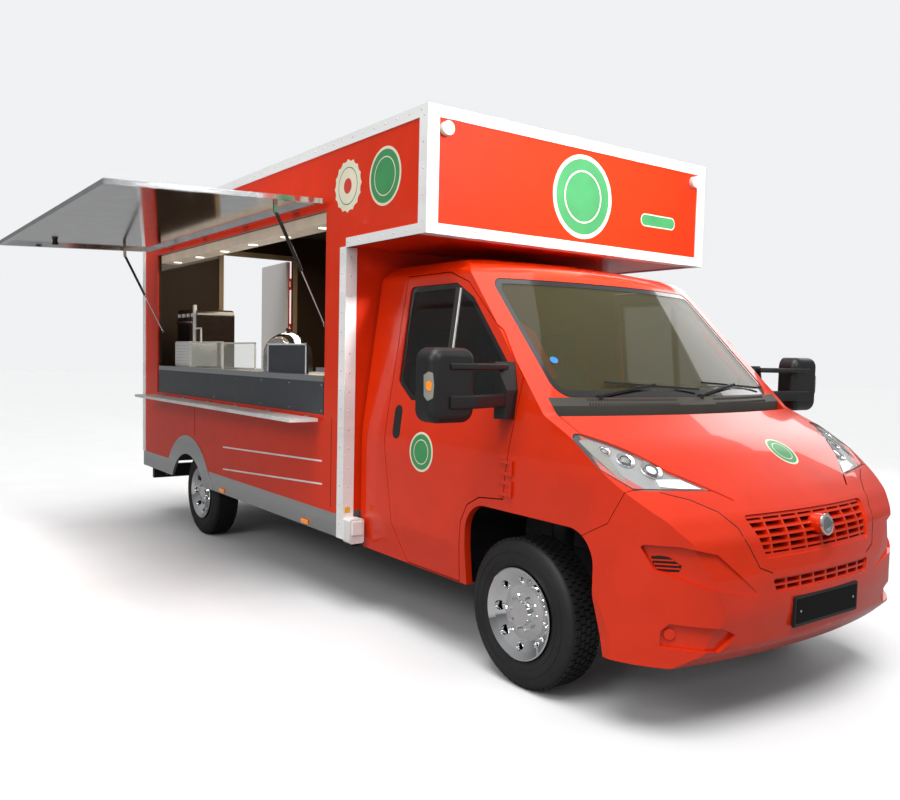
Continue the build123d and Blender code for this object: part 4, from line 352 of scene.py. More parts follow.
# %% [markdown]
# Most small things lie on a curved panel. A ray shot at the panel finds the exact spot, so a
# label or a seal can be laid on it ring by ring, and a seam can be traced along it. Rays start
# either from the side, as a draughtsman looks, or from the photographer's eye.

# %% Finding places on the panels
skins = {}


def cast(node, start, way):
    """The first place where a ray meets a solid, and the way the surface faces there."""
    if node not in skins:
        mesh = nodes[node].data
        skins[node] = BVHTree.FromPolygons([v.co for v in mesh.vertices], [p.vertices for p in mesh.polygons])
    spot, facing = skins[node].ray_cast(start, way)[:2]
    if spot is None:
        low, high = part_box(node)
        near = start + way * ((low + high) / 2 - start).dot(way)
        spot, facing = skins[node].find_nearest(near)[:2]
    if facing.dot(way) > 0:
        facing = -facing
    return spot, facing


def from_eye(across, down):
    """The ray from the photographer's eye through a place in the picture, in its pixels."""
    way = forward * focal_px + right_way * (across - centre_px[0]) - up_way * (down - centre_px[1])
    return eye, way.normalized()


def from_right(x, z):
    """The ray from the right through a place on the long side."""
    return at(x, -3, z), Vector((0, 1, 0))


print("bonnet under a picture place:", [round(c, 3) for c in cast("bonnet", *from_eye(700, 440))[0]])

# %% [markdown]
# A finished shape becomes a piece in one step: its doubles are merged, its faces turned outward,
# and it rides on a body. What stands on both sides of the truck is mirrored about the middle.

# %% Keeping a shape


def keep(name, build, material, body="truck", twin=None, smooth=None):
    """Makes a piece of a shape; twin is the body that carries its mirror image on the left."""
    bmesh.ops.remove_doubles(build, verts=build.verts, dist=1e-5)
    made = []
    for tail, carrier in ((("", body),) if twin is None else (("_right", body), ("_left", twin))):
        if tail == "_left":
            for vert in build.verts:
                vert.co.y = 2 * centre_y - vert.co.y
        bmesh.ops.recalc_face_normals(build, faces=build.faces)
        mesh = bpy.data.meshes.new(name + tail)
        build.to_mesh(mesh)
        if smooth:
            mesh.polygons.foreach_set("use_smooth", [True] * len(mesh.polygons))
            mesh.set_sharp_from_angle(angle=math.radians(smooth))
        mesh.materials.append(material)
        piece = stand(name + tail, mesh)
        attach(piece, carrier)
        made.append(piece)
    build.free()
    return made


def slab(build, corners, rise):
    """A plate: a polygon raised by a vector."""
    low = [build.verts.new(corner) for corner in corners]
    top = [build.verts.new(corner + rise) for corner in corners]
    build.faces.new(low[::-1])
    build.faces.new(top)
    for here in range(len(corners)):
        after = (here + 1) % len(corners)
        build.faces.new((low[here], low[after], top[after], top[here]))


def block(build, low, high, edge=0.0):
    """A box between two corners, with its edges rounded by a small bevel."""
    before = set(build.verts)
    slab(build, [Vector((low.x, low.y, low.z)), Vector((high.x, low.y, low.z)),
                 Vector((high.x, high.y, low.z)), Vector((low.x, high.y, low.z))],
         Vector((0, 0, high.z - low.z)))
    if edge:
        fresh = set(build.verts) - before
        edges = [e for e in build.edges if e.verts[0] in fresh]
        bmesh.ops.bevel(build, geom=edges, offset=edge, segments=3, affect="EDGES")


def turned(build, centre, axis, profile, steps=40, closed=False):
    """Turns a profile of (radius, height) pairs round an axis."""
    axis = axis.normalized()
    side = axis.orthogonal().normalized()
    other = axis.cross(side)
    rings = []
    for radius, height in profile:
        hub = centre + axis * height
        if radius < 1e-6:
            rings.append([build.verts.new(hub)])
            continue
        rings.append([
            build.verts.new(hub + (side * math.cos(t) + other * math.sin(t)) * radius)
            for t in (math.tau * k / steps for k in range(steps))
        ])
    pairs = list(zip(rings, rings[1:])) + ([(rings[-1], rings[0])] if closed else [])
    for a, b in pairs:
        for k in range(steps):
            j = (k + 1) % steps
            ring = [a[k % len(a)], a[j % len(a)], b[j % len(b)], b[k % len(b)]]
            ring = [v for i, v in enumerate(ring) if v not in ring[:i]]
            if len(ring) > 2:
                build.faces.new(ring)


# %% [markdown]
# Two ways of dressing a panel: laying a sheet on it, from its rim inward, and tracing a line
# over it. Both are thin closed solids, so they look right from the side as well.

# %% Laying sheets and tracing lines


def lay(build, node, rings, lift=0.0006, thick=0.001, filled=True):
    """Lays rings of rays on a solid as one thin closed sheet, from the rim inward."""
    top, low = [], []
    for ring in rings:
        hits = [cast(node, *ray) for ray in ring]
        top.append([build.verts.new(spot + facing * (lift + thick)) for spot, facing in hits])
        low.append([build.verts.new(spot + facing * lift) for spot, facing in hits])
    count = len(rings[0])
    for k in range(count):
        j = (k + 1) % count
        build.faces.new((top[0][k], low[0][k], low[0][j], top[0][j]))
        for r in range(len(rings) - 1):
            build.faces.new((top[r][k], top[r][j], top[r + 1][j], top[r + 1][k]))
            build.faces.new((low[r][j], low[r][k], low[r + 1][k], low[r + 1][j]))
        if not filled:
            build.faces.new((low[-1][k], top[-1][k], top[-1][j], low[-1][j]))
    if filled:
        build.faces.new(top[-1])
        build.faces.new(low[-1][::-1])


def trace(build, node, rays, wide, lift=0.0004, thick=0.0006, steps=6):
    """A narrow strip that follows rays over a solid."""
    line = []
    for (a, way_a), (b, way_b) in zip(rays, rays[1:]):
        for k in range(steps):
            t = k / steps
            line.append(cast(node, a.lerp(b, t), way_a.lerp(way_b, t).normalized()))
    line.append(cast(node, *rays[-1]))
    rows = []
    for k, (spot, facing) in enumerate(line):
        along = line[min(k + 1, len(line) - 1)][0] - line[max(k - 1, 0)][0]
        side = along.cross(facing).normalized() * wide / 2
        rows.append([build.verts.new(spot + facing * h + side * s)
                     for s, h in ((-1, lift), (1, lift), (1, lift + thick), (-1, lift + thick))])
    for a, b in zip(rows, rows[1:]):
        for k in range(4):
            j = (k + 1) % 4
            build.faces.new((a[k], a[j], b[j], b[k]))
    build.faces.new(rows[0][::-1])
    build.faces.new(rows[-1])


def convex(spots):
    """The tight outline round a set of flat points."""
    spots = sorted(set(spots))
    hull = []
    for sweep in (spots, spots[::-1]):
        chain = []
        for p in sweep:
            while len(chain) > 1 and ((chain[-1][0] - chain[-2][0]) * (p[1] - chain[-2][1])
                                      - (chain[-1][1] - chain[-2][1]) * (p[0] - chain[-2][0])) <= 0:
                chain.pop()
            chain.append(p)
        hull += chain[:-1]
    return hull


def outline(node, across, up, count=72):
    """Evenly spaced points on a solid's outer outline, seen along the third axis."""
    hull = convex([(round(v.co[across], 4), round(v.co[up], 4)) for v in nodes[node].data.vertices])
    lengths = [math.dist(hull[k], hull[(k + 1) % len(hull)]) for k in range(len(hull))]
    gap, even, walked, k = sum(lengths) / count, [], 0.0, 0
    for n in range(count):
        while walked + lengths[k] < n * gap:
            walked += lengths[k]
            k += 1
        t = (n * gap - walked) / lengths[k]
        a, b = hull[k], hull[(k + 1) % len(hull)]
        even.append((a[0] + (b[0] - a[0]) * t, a[1] + (b[1] - a[1]) * t))
    return even


def shrunk(points, inset):
    """An outline moved inward by the same distance all round."""
    moved = []
    for k, (u, v) in enumerate(points):
        a, b = points[k - 1], points[(k + 1) % len(points)]
        along = Vector((b[0] - a[0], b[1] - a[1])).normalized()
        moved.append((u - along.y * inset, v + along.x * inset))
    return moved


print("windscreen outline, first point", outline("windscreen", 1, 2)[0])

# %% [markdown]
# Rivets, tread blocks, nuts and slats all repeat one small shape along a line. One Geometry
# Nodes tree does them all: it turns the line to points at a given spacing, sets a shape on each
# point, turned to face the way the line's own "out" attribute says, and makes the copies real.

# %% A tree that repeats a shape along lines
seeds = {
    "dome": ("GeometryNodeMeshUVSphere", {"Segments": 10, "Rings": 6, "Radius": 0.5}),
    "block": ("GeometryNodeMeshCube", {}),
    "nut": ("GeometryNodeMeshCylinder", {"Vertices": 6, "Radius": 0.5, "Depth": 1.0}),
    "disc": ("GeometryNodeMeshCylinder", {"Vertices": 20, "Radius": 0.5, "Depth": 1.0}),
}
row_trees = {}


def row_tree(shape):
    """Builds the tree for one kind of small shape."""
    tree = bpy.data.node_groups.new("row_of_" + shape, "GeometryNodeTree")
    tree.interface.new_socket("Lines", in_out="INPUT", socket_type="NodeSocketGeometry")
    for label in ("Spacing", "Long", "Wide", "High"):
        tree.interface.new_socket(label, in_out="INPUT", socket_type="NodeSocketFloat")
    tree.interface.new_socket("Finish", in_out="INPUT", socket_type="NodeSocketMaterial")
    tree.interface.new_socket("Pieces", in_out="OUTPUT", socket_type="NodeSocketGeometry")
    given = grow(tree, "NodeGroupInput", {}).outputs
    curve = grow(tree, "GeometryNodeMeshToCurve", {"Mesh": given["Lines"]}, "Curve")
    points = grow(tree, "GeometryNodeCurveToPoints", {"Curve": curve, "Length": given["Spacing"]}, mode="LENGTH")
    out = grow(tree, "GeometryNodeInputNamedAttribute", {"Name": "out"}, "Attribute", data_type="FLOAT_VECTOR")
    turned_to = grow(tree, "FunctionNodeAxesToRotation",
                     {"Primary Axis": out, "Secondary Axis": points.outputs["Tangent"]}, "Rotation",
                     primary_axis="Z", secondary_axis="X")
    kind, values = seeds[shape]
    size = grow(tree, "ShaderNodeCombineXYZ", {"X": given["Long"], "Y": given["Wide"], "Z": given["High"]}, "Vector")
    copies = grow(tree, "GeometryNodeInstanceOnPoints",
                  {"Points": points.outputs["Points"], "Instance": grow(tree, kind, values, "Mesh"),
                   "Rotation": turned_to, "Scale": size}, "Instances")
    real = grow(tree, "GeometryNodeRealizeInstances", {"Geometry": copies}, "Geometry")
    coloured = grow(tree, "GeometryNodeSetMaterial", {"Geometry": real, "Material": given["Finish"]}, "Geometry")
    grow(tree, "NodeGroupOutput", {"Pieces": coloured})
    return tree


def row(name, shape, lines, spacing, long, wide, high, material, body="truck", twin=None):
    """Repeats a small shape along lines of (points, way or ways out), closed where True follows."""
    if shape not in row_trees:
        row_trees[shape] = row_tree(shape)
    tree = row_trees[shape]
    places, ways, edges = [], [], []
    for points, out, *closed in lines:
        first = len(places)
        places += points
        ways += out if isinstance(out, list) else [out] * len(points)
        edges += [(first + k, first + k + 1) for k in range(len(points) - 1)]
        if closed:
            edges.append((first + len(points) - 1, first))
    mesh = bpy.data.meshes.new(name)
    mesh.from_pydata(places, edges, [])
    mesh.attributes.new("out", "FLOAT_VECTOR", "POINT").data.foreach_set("vector", [c for w in ways for c in w])
    host = stand(name, mesh)
    modifier = host.modifiers.new("row", "NODES")
    modifier.node_group = tree
    named = {s.name: s.identifier for s in tree.interface.items_tree if s.in_out == "INPUT"}
    for label, value in (("Spacing", spacing), ("Long", long), ("Wide", wide), ("High", high), ("Finish", material)):
        modifier[named[label]] = value
    graph = bpy.context.evaluated_depsgraph_get()
    grown = bpy.data.meshes.new_from_object(host.evaluated_get(graph), depsgraph=graph)
    host.modifiers.remove(modifier)
    bpy.data.objects.remove(host)
    build = bmesh.new()
    build.from_mesh(grown)
    print(name, "faces", len(build.faces))
    return keep(name, build, material, body, twin, smooth=40 if shape != "block" else None)


def line_on(node, rays):
    """A line for row() along the places where rays meet a solid."""
    spots, ways = zip(*[cast(node, *ray) for ray in rays])
    return list(spots), list(ways)


print("shapes that can be repeated:", list(seeds))

# %% [markdown]
# Most dressing is a sheet laid on a panel, a line traced over it, a few small blocks or a turned
# shape. Each of the four gets a helper that builds the shape and keeps it in one call. A last
# helper turns a shape drawn in picture pixels into rings of rays. What stands on both sides is
# given the two bodies that carry it.

# %% Pieces in one call


def film(name, node, rings, material, body="truck", twin=None, smooth=None, **how):
    """Lays one sheet on a solid."""
    build = bmesh.new()
    lay(build, node, rings, **how)
    return keep(name, build, material, body, twin, smooth)


def stroke(name, node, paths, wide, material, body="truck", twin=None, **how):
    """Traces lines of rays over a solid."""
    build = bmesh.new()
    for path in paths:
        trace(build, node, path, wide, **how)
    return keep(name, build, material, body, twin)


def blocks(name, corners, edge, material, body="truck", twin=None):
    """Makes one piece of blocks, each given by its low and its high corner."""
    build = bmesh.new()
    for low, high in corners:
        block(build, low, high, edge)
    return keep(name, build, material, body, twin)


def lathe(name, centre, axis, profile, material, body="truck", twin=None, smooth=50, **how):
    """Turns one profile round an axis."""
    build = bmesh.new()
    turned(build, centre, axis, profile, **how)
    return keep(name, build, material, body, twin, smooth)


def drawn(mid, rim, shares):
    """Rings of rays through a picture shape, each a share of its size towards its middle."""
    return [[from_eye(mid[0] + (u - mid[0]) * s, mid[1] + (v - mid[1]) * s) for u, v in rim] for s in shares]


both, doors = ("truck", "truck"), ("cab_door_right", "cab_door_left")
print("a drawn rim of", len(drawn((0, 0), [(1, 0), (0, 1), (-1, 0)], (1, 0.5))[0]), "rays")

# %% [markdown]
# The box is made of red sheets held by aluminium profiles, and a row of rivet heads runs along
# every profile. The rows are drawn as lines on the profiles' faces, and the tree fills them.

# %% Rivets on the aluminium profiles
trim_face_y = 1.146
over_cab_face_x = -0.622
along_x, along_y, along_z = Vector((1, 0, 0)), Vector((0, 1, 0)), Vector((0, 0, 1))
rivet_lines = []
for side in (-1, 1):
    for ends in (
        ((-5.34, 2.872), (-0.68, 2.872)), ((-1.42, 2.264), (-0.68, 2.264)), ((-1.479, 0.56), (-1.479, 2.20)),
        ((-0.657, 2.30), (-0.657, 2.84)), ((-5.362, 0.66), (-5.362, 2.84)),
    ):
        rivet_lines.append(([at(x, side * trim_face_y, z) for x, z in ends], along_y * side))
    rivet_lines.append(([at(over_cab_face_x, side * 1.112, z) for z in (2.30, 2.84)], along_x))
    rivet_lines.append(([at(-1.438, side * 1.112, z) for z in (0.56, 2.18)], along_x))
for z in (2.268, 2.872):
    rivet_lines.append(([at(over_cab_face_x, y, z) for y in (-1.05, 1.05)], along_x))
row("rivets", "dome", rivet_lines, 0.115, 0.009, 0.009, 0.005, polished)

# %% [markdown]
# Skirt screws sit lower and further apart, and the arch round the rear wheel has its own ring of
# screws that follows the arc.

# %% Skirt and arch screws
arch_x, arch_z, screw_radius = -4.15, 0.275, 0.565
skirt_face_y = 1.1442
arc = [math.radians(a) for a in range(16, 166, 5)]
skirt_lines = []
for side in (-1, 1):
    out = along_y * side
    for ends in ((-3.50, -1.60), (-5.30, -4.80)):
        skirt_lines.append(([at(x, side * skirt_face_y, 0.545) for x in ends], out))
    skirt_lines.append(([at(arch_x + screw_radius * math.cos(t), side * skirt_face_y,
                            arch_z + screw_radius * math.sin(t)) for t in arc], out))
row("skirt_screws", "dome", skirt_lines, 0.16, 0.010, 0.010, 0.004, chrome)

# %% [markdown]
# Labels on the long side are printed film. Only plain shapes are used: two white lines low on
# the panel, a scalloped cream seal and a green disc up high, and thin dark joints where two red
# sheets meet. A round label is a stack of discs, each a share of the first.

# %% Film labels on the right side


def disc_rays(start, radius, across, up, way, waves=0, depth=0.0, count=48):
    """Rings of rays for a round or scalloped label, from its rim inward."""
    return [[(start + (across * math.cos(t) + up * math.sin(t)) * radius * share
              * (1 + depth * math.cos(waves * t)), way) for t in (math.tau * k / count for k in range(count))]
            for share in (1.0, 0.72, 0.4, 0.06)]


def seal(name, node, ray, radius, across, up, colours, body="truck", waves=0):
    """A round label of stacked film: a rim, a ring line and a middle."""
    start, way = ray
    for k, (share, material) in enumerate(colours):
        rays = disc_rays(start, radius * share, across, up, way, waves if k == 0 else 0, 0.05 if k == 0 else 0)
        film("%s_%d" % (name, k), node, rays, material, body, lift=0.0004 + 0.0004 * k, thick=0.0004)


def green_disc(*shares):
    """Cream and green in turn, from the rim inward."""
    return tuple(zip(shares, (label_cream, label_green) * 2))


side_spot = {}
for label, px in {"cream": (348, 186), "green": (385, 176)}.items():
    spot = cast("box_side_right", *from_eye(*px))[0]
    side_spot[label] = (Vector((spot.x, at(0, -3, 0).y, spot.z)), along_y)
seal("seal_cream", "box_side_right", side_spot["cream"], 0.150, along_x, along_z,
     ((1.0, label_cream), (0.74, label_green), (0.70, label_cream), (0.30, label_red)), waves=16)
seal("seal_green", "box_side_right", side_spot["green"], 0.155, along_x, along_z,
     green_disc(1.0, 0.95, 0.70, 0.66))
stroke("side_stripes", "box_side_right",
       [[from_eye(*a), from_eye(*b)] for a, b in (((223, 447), (322, 461)), ((223, 469), (322, 484)))],
       0.011, label_white, steps=1)
stroke("sheet_joints", "box_side_right",
       [[from_right(x, a), from_right(x, b)] for x, a, b in ((-3.98, 0.88, 1.20), (-1.60, 1.20, 0.64))],
       0.004, seam_black, steps=1)
print("labels on the side at", [tuple(round(c, 2) for c in side_spot[k][0]) for k in side_spot])

# %% [markdown]
# The front of the box carries a large green disc and a small green pill with a cream rim. The
# pill is two half circles pushed apart.

# %% Labels on the front of the box
front_spot = cast("box_front", *from_eye(583, 197))[0]
ahead_x = at(3, 0, 0).x
seal("seal_front", "box_front", (Vector((ahead_x, front_spot.y, front_spot.z)), -along_x), 0.235,
     along_y, along_z, green_disc(1.0, 0.94, 0.66, 0.62))
pill_spot = cast("box_front", *from_eye(658, 222))[0]
for name, half, high, material, lift in (("pill_rim", 0.168, 0.040, label_cream, 0.0004),
                                         ("pill_film", 0.160, 0.033, label_green, 0.0009)):
    rim = []
    for k in range(40):
        t = math.tau * k / 40
        shift = (half - high) * (1 if math.cos(t) > 0 else -1)
        rim.append((shift + high * math.cos(t), high * math.sin(t)))
    film(name, "box_front", [[(Vector((ahead_x, pill_spot.y + y * s, pill_spot.z + z * s)), -along_x)
                              for y, z in rim] for s in (1, 0.5)], material, lift=lift, thick=0.0004)
print("labels on the front at", [round(c, 2) for c in front_spot], [round(c, 2) for c in pill_spot])

# %% [markdown]
# Under the open hatch runs a beam, given a faint painted glow, with a row of small lamps in it,
# each with a chrome rim. The shelf hangs on short hinges, and screws run along the apron behind it.

# %% Beam, shelf and apron fittings
row("beam_lamps", "disc", [([at(x, -1.02, 2.4195) for x in (-4.75, -1.95)], -along_z)],
    0.56, 0.075, 0.075, 0.004, spot_white)
row("beam_lamp_rims", "disc", [([at(x, -1.02, 2.4200) for x in (-4.75, -1.95)], -along_z)],
    0.56, 0.092, 0.092, 0.003, chrome)
row("shelf_hinges", "block", [([at(x, -1.150, 1.1935) for x in (-4.80, -1.90)], along_z)],
    0.58, 0.07, 0.022, 0.006, brushed)
row("apron_screws", "dome", [([at(x, -1.1345, z) for x in (-4.92, -1.75)], -along_y)
                             for z in (1.235, 1.400)], 0.4, 0.009, 0.009, 0.004, polished)

# %% [markdown]
# Small lamps and boxes finish the outside: two amber markers on each skirt, the inlet's lid and
# foot, and a small yellow label over the inlet.

# %% Side markers and inlet
for side, name in ((-1, "right"), (1, "left")):
    corners = []
    for x in (-1.93, -3.35):
        low, high = at(x - 0.045, side * 1.144, 0.484), at(x + 0.045, side * 1.154, 0.512)
        corners.append((Vector((low.x, min(low.y, high.y), low.z)), Vector((high.x, max(low.y, high.y), high.z))))
    blocks("side_marker_" + name, corners, 0.003, amber)
inlet_low, inlet_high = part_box("power_inlet")
blocks("inlet_lid", [(Vector((inlet_high.x - 0.004, inlet_low.y + 0.012, inlet_low.z + 0.05)),
                      Vector((inlet_high.x + 0.006, inlet_high.y - 0.012, inlet_high.z - 0.012)))],
       0.004, label_white)
blocks("inlet_foot", [(Vector((inlet_low.x + 0.008, inlet_low.y + 0.02, inlet_low.z - 0.018)),
                       Vector((inlet_high.x - 0.008, inlet_high.y - 0.02, inlet_low.z + 0.004)))],
       0.004, black_plastic)
label_x, label_y, label_z = -1.438, (-1.132, -1.095), (0.63, 0.665)
build = bmesh.new()
slab(build, [at(label_x, y, z) for y, z in ((label_y[0], label_z[0]), (label_y[1], label_z[0]),
                                            (label_y[1], label_z[1]), (label_y[0], label_z[1]))],
     Vector((0.0008, 0, 0)))
keep("inlet_label", build, finish("label_yellow", (0.80, 0.48, 0.03), 0.5, grain=90, bump=0.01))
print("inlet between", [round(c, 2) for c in inlet_low], "and", [round(c, 2) for c in inlet_high])

# %% [markdown]
# Glued glass has a black printed band round its rim that hides the glue. The band follows the
# glass's own outline, so it is laid on the glass between that outline and a smaller copy of it.

# %% Bands round the glass
band_wide, band_steps = 0.030, 3
for name, node, across, start, way, body, twin in (
    ("screen_band", "windscreen", 1, lambda p: Vector((ahead_x, *p)), -along_x, "truck", None),
    ("door_glass_band", "door_glass_right", 0, lambda p: Vector((p[0], at(0, -3, 0).y, p[1])), along_y,
     *doors),
):
    points = outline(node, across, 2)
    rings = [[(start(p), way) for p in shrunk(points, 0.001 + band_wide * k / band_steps)]
             for k in range(band_steps + 1)]
    film(name, node, rings, gloss_black, body, twin, lift=0.0008, thick=0.0012, filled=False)
print("bands of", len(points), "points")

# %% [markdown]
# A divider stands in each door window, with a thin bright line beside it.

# %% Posts in the door window
for name, x, low_z, high_z, wide, thick, material in (
    ("window_post", -0.655, 1.372, 1.97, 0.034, 0.006, grey_plastic),
    ("window_post_edge", -0.628, 1.375, 1.965, 0.008, 0.008, bright_trim),
):
    stroke(name, "door_glass_right", [[from_right(x, low_z), from_right(x, high_z)]], wide, material,
           *doors, lift=0.001, thick=thick)
print("window posts on both doors")

# %% [markdown]
# A headlamp is a clear cover over a small stage: a silver tray, three chrome bowls with a dark
# ring each, a white strip along the lower edge and a ribbed outer end. The cover is the solid
# lamp with a clear shader, so the stage is laid a little inside its skin. The tray's rim is the
# outline of the lamp's own faces as the eye sees them, and all of it is mirrored to the left.

# %% Headlamps
lamp_fit = (0.997, 0.99)
gap_mid, gap_fit = (649, 468), (0.985, 0.96)


def mean(spots):
    """The middle of a set of flat points."""
    return sum(p[0] for p in spots) / len(spots), sum(p[1] for p in spots) / len(spots)


def scaled(spots, mid, fit):
    """Flat points drawn in towards a middle."""
    return [(mid[0] + (u - mid[0]) * fit[0], mid[1] + (v - mid[1]) * fit[1]) for u, v in spots]


def in_picture(point):
    """Where a point of the scene falls in the picture, in its pixels."""
    way = point - eye
    deep = way.dot(forward)
    return centre_px[0] + focal_px * way.dot(right_way) / deep, centre_px[1] - focal_px * way.dot(up_way) / deep


def skin_outline(node):
    """The picture outline of those outer faces of the right-hand lamp that the eye sees."""
    mesh = nodes[node].data
    spots = []
    for face in mesh.polygons:
        if face.center.y < centre_y and face.normal.dot(eye - face.center) > 0 and face.normal.x > 0.2:
            spots += [tuple(round(c, 2) for c in in_picture(mesh.vertices[k].co)) for k in face.vertices]
    hull = convex(spots)
    return scaled(hull, mean(hull), lamp_fit)


def lamp_sheet(name, corners, depth, material, wide=6):
    """A sheet under the lamp's clear skin, between picture corners."""
    dense = []
    for k, a in enumerate(corners):
        b = corners[(k + 1) % len(corners)]
        dense += [(a[0] + (b[0] - a[0]) * t / wide, a[1] + (b[1] - a[1]) * t / wide) for t in range(wide)]
    film(name, "headlamps", drawn(mean(corners), dense, (1, 0.75, 0.5, 0.25, 0.05)), material, *both,
         smooth=50, lift=-depth, thick=0.001)


lamp_ring = skin_outline("headlamps")
print("lamp outline in the picture", len(lamp_ring), min(lamp_ring), max(lamp_ring))
lamp_sheet("lamp_tray", lamp_ring, 0.012,
           finish("lamp_silver", (0.62, 0.63, 0.62), 0.24, metal=0.6, grain=120, bump=0.02), wide=2)
lamp_sheet("lamp_end", [(577, 438), (592, 441), (606, 452), (628, 482), (618, 476), (595, 456)], 0.007, lens_ridged)
lamp_sheet("lamp_strip", [(656, 479), (680, 479), (702, 488.5), (680, 488), (660, 486)], 0.005, strip_white)
for name, px, radius in (("lamp_bowl_big", (652, 469), 0.050), ("lamp_bowl_small", (626, 459), 0.042),
                         ("lamp_bowl_outer", (605, 450), 0.030)):
    spot, facing = cast("headlamps", *from_eye(*px))
    base = spot - facing * 0.0115
    eye_size = radius * 0.52
    lathe(name, base, facing, [(0.0, 0.0), (radius * 0.55, 0.001), (radius * 0.9, 0.004), (radius, 0.008),
                               (radius * 1.06, 0.008), (radius * 1.02, 0.002), (radius * 0.6, -0.003), (0.0, -0.004)],
          chrome, *both)
    lathe(name + "_eye", base, facing, [(0.0, 0.001), (eye_size, 0.001), (eye_size, 0.003), (eye_size * 0.8, 0.006),
                                        (eye_size * 0.45, 0.008), (0.0, 0.009)],
          strip_white if "big" in name else lens_ridged, *both, smooth=60)
    lathe(name + "_ring", base, facing, [(eye_size * 1.02, 0.002), (eye_size * 1.22, 0.002), (eye_size * 1.22, 0.007),
                                         (eye_size * 1.02, 0.007)], gloss_black, *both, closed=True)

# %% [markdown]
# A gap runs round every lamp and between bumper, wing and grille. The solids have the gap
# already, and a thin dark line of painted shadow makes it read at a distance.

# %% Shadow lines on the nose
# Painted shadow: thin dark lines round each lamp and along the bumper crease.
film("lamp_gap_shadow", "headlamps",
     [[from_eye(*p) for p in ring] for ring in (lamp_ring, scaled(lamp_ring, gap_mid, gap_fit))],
     seam_black, *both, lift=0.0003, thick=0.0004, filled=False)
crease = [(645, 489), (690, 500), (718, 512), (738, 528), (750, 548), (760, 568), (773, 573)]
stroke("bumper_crease_shadow", "front_bumper", [[from_eye(*p) for p in crease]], 0.005, seam_black, *both,
       lift=0.0002, thick=0.0004, steps=3)
print("shadow lines round", len(lamp_ring), "lamp points and", len(crease), "bumper points")

# %% [markdown]
# The round mark on the grille stays blank: a chrome rim round a plain domed disc. The plate
# carrier below it is blank as well, a black frame round a black plate with two small screws.

# %% Blank mark and plate
lathe("round_mark", at(0.9475, 0, 0.868), Vector((1, 0, 0.20)),
      [(0.0, 0.0), (0.047, 0.0), (0.050, 0.004), (0.049, 0.010), (0.045, 0.013),
       (0.041, 0.010), (0.030, 0.0105), (0.0, 0.0125)], chrome, smooth=40, steps=56)
blocks("plate_carrier", [(at(0.960, -0.265, 0.440), at(0.9765, 0.265, 0.578))], 0.004, black_plastic)
blocks("plate_blank", [(at(0.975, -0.252, 0.456), at(0.9785, 0.252, 0.566))], 0.002,
       finish("plate_black", (0.006, 0.006, 0.007), 0.6, grain=300, bump=0.01, mirror=0.15))
row("plate_screws", "dome", [([at(0.9785, y, 0.51) for y in (-0.22, 0.22)], along_x)], 0.44,
    0.012, 0.012, 0.005, polished)

# %% [markdown]
# Behind the grille's slats there is shade. A bowed sheet of narrow dark plates stands there as
# painted shade, so that the engine doesn't show. The side intakes get a bed of painted shade with
# three slats, and a blank cap fills the outer end of each fog lamp's recess.

# %% Grille back, side intakes and fog caps
build = bmesh.new()
bow_radius, plates = 3.6, 16
for low_z, high_z, low_x, high_x, half in ((0.60, 0.69, 0.905, 0.900, 0.42), (0.74, 0.95, 0.872, 0.815, 0.50)):
    for k in range(plates):
        y0, y1 = (-half + 2 * half * k / plates), (-half + 2 * half * (k + 1) / plates)
        sag0, sag1 = y0 * y0 / 2 / bow_radius, y1 * y1 / 2 / bow_radius
        slab(build, [at(low_x - sag0, y0, low_z), at(low_x - sag1, y1, low_z), at(high_x - sag1, y1, high_z),
                     at(high_x - sag0, y0, high_z)], Vector((-0.003, 0, 0)))
# The bowed dark plates are painted shade behind the grille's slats.
keep("grille_dark", build, seam_black)
intake_rim = [(651, 556), (660, 555.5), (669, 557), (682, 566), (679, 572), (668, 572), (658, 570), (653, 564)]
# A dark film laid in each side intake's recess as painted shade.
film("side_intake_dark", "front_bumper", drawn((665, 564), intake_rim, (1, 0.6, 0.2)), seam_black,
     *both, lift=0.0006, thick=0.0006)
slats = (((652, 559.5), (674, 560.5)), ((654, 563.5), (679, 565)), ((656, 567.5), (680, 569)))
stroke("side_intake_slats", "front_bumper", [[from_eye(*a), from_eye(*b)] for a, b in slats], 0.006, panel_red,
       *both, lift=0.001, thick=0.004, steps=3)
spot, facing = cast("front_bumper", *from_eye(669, 634))
lathe("fog_cap", spot, facing, [(0.0, -0.004), (0.026, -0.004), (0.026, 0.006), (0.022, 0.010), (0.0, 0.011)],
      cab_red, *both, smooth=40, steps=32)
print("fog cap at", [round(c, 2) for c in spot])

# %% [markdown]
# The right door and the bonnet carry one round film label each, a small blue disc sits on the
# windscreen, and a sheet of white paper lies on the dashboard behind it.

# %% Labels on the cab


def up_along(facing):
    """The way up along a sloping panel."""
    return (along_z - facing * along_z.dot(facing)).normalized()


door_spot = cast("cab_door_right", *from_eye(421, 452))[0]
seal("seal_door", "cab_door_right", (Vector((door_spot.x, at(0, -3, 0).y, door_spot.z)), along_y), 0.105,
     along_x, along_z, green_disc(1.0, 0.93, 0.66, 0.61), "cab_door_right")
bonnet_spot, bonnet_facing = cast("bonnet", *from_eye(782, 451))
bonnet_up = up_along(bonnet_facing)
seal("seal_bonnet", "bonnet", (bonnet_spot + bonnet_facing, -bonnet_facing), 0.088,
     bonnet_up.cross(bonnet_facing).normalized(), bonnet_up, green_disc(1.0, 0.93, 0.66, 0.61), "bonnet")
screen_spot, screen_facing = cast("windscreen", *from_eye(554, 360))
screen_up = up_along(screen_facing)
film("screen_dot", "windscreen",
     disc_rays(screen_spot + screen_facing, 0.022, screen_up.cross(screen_facing).normalized(), screen_up,
               -screen_facing), finish("label_blue", (0.02, 0.20, 0.55), 0.4, grain=90), lift=0.0004, thick=0.0004)
build = bmesh.new()
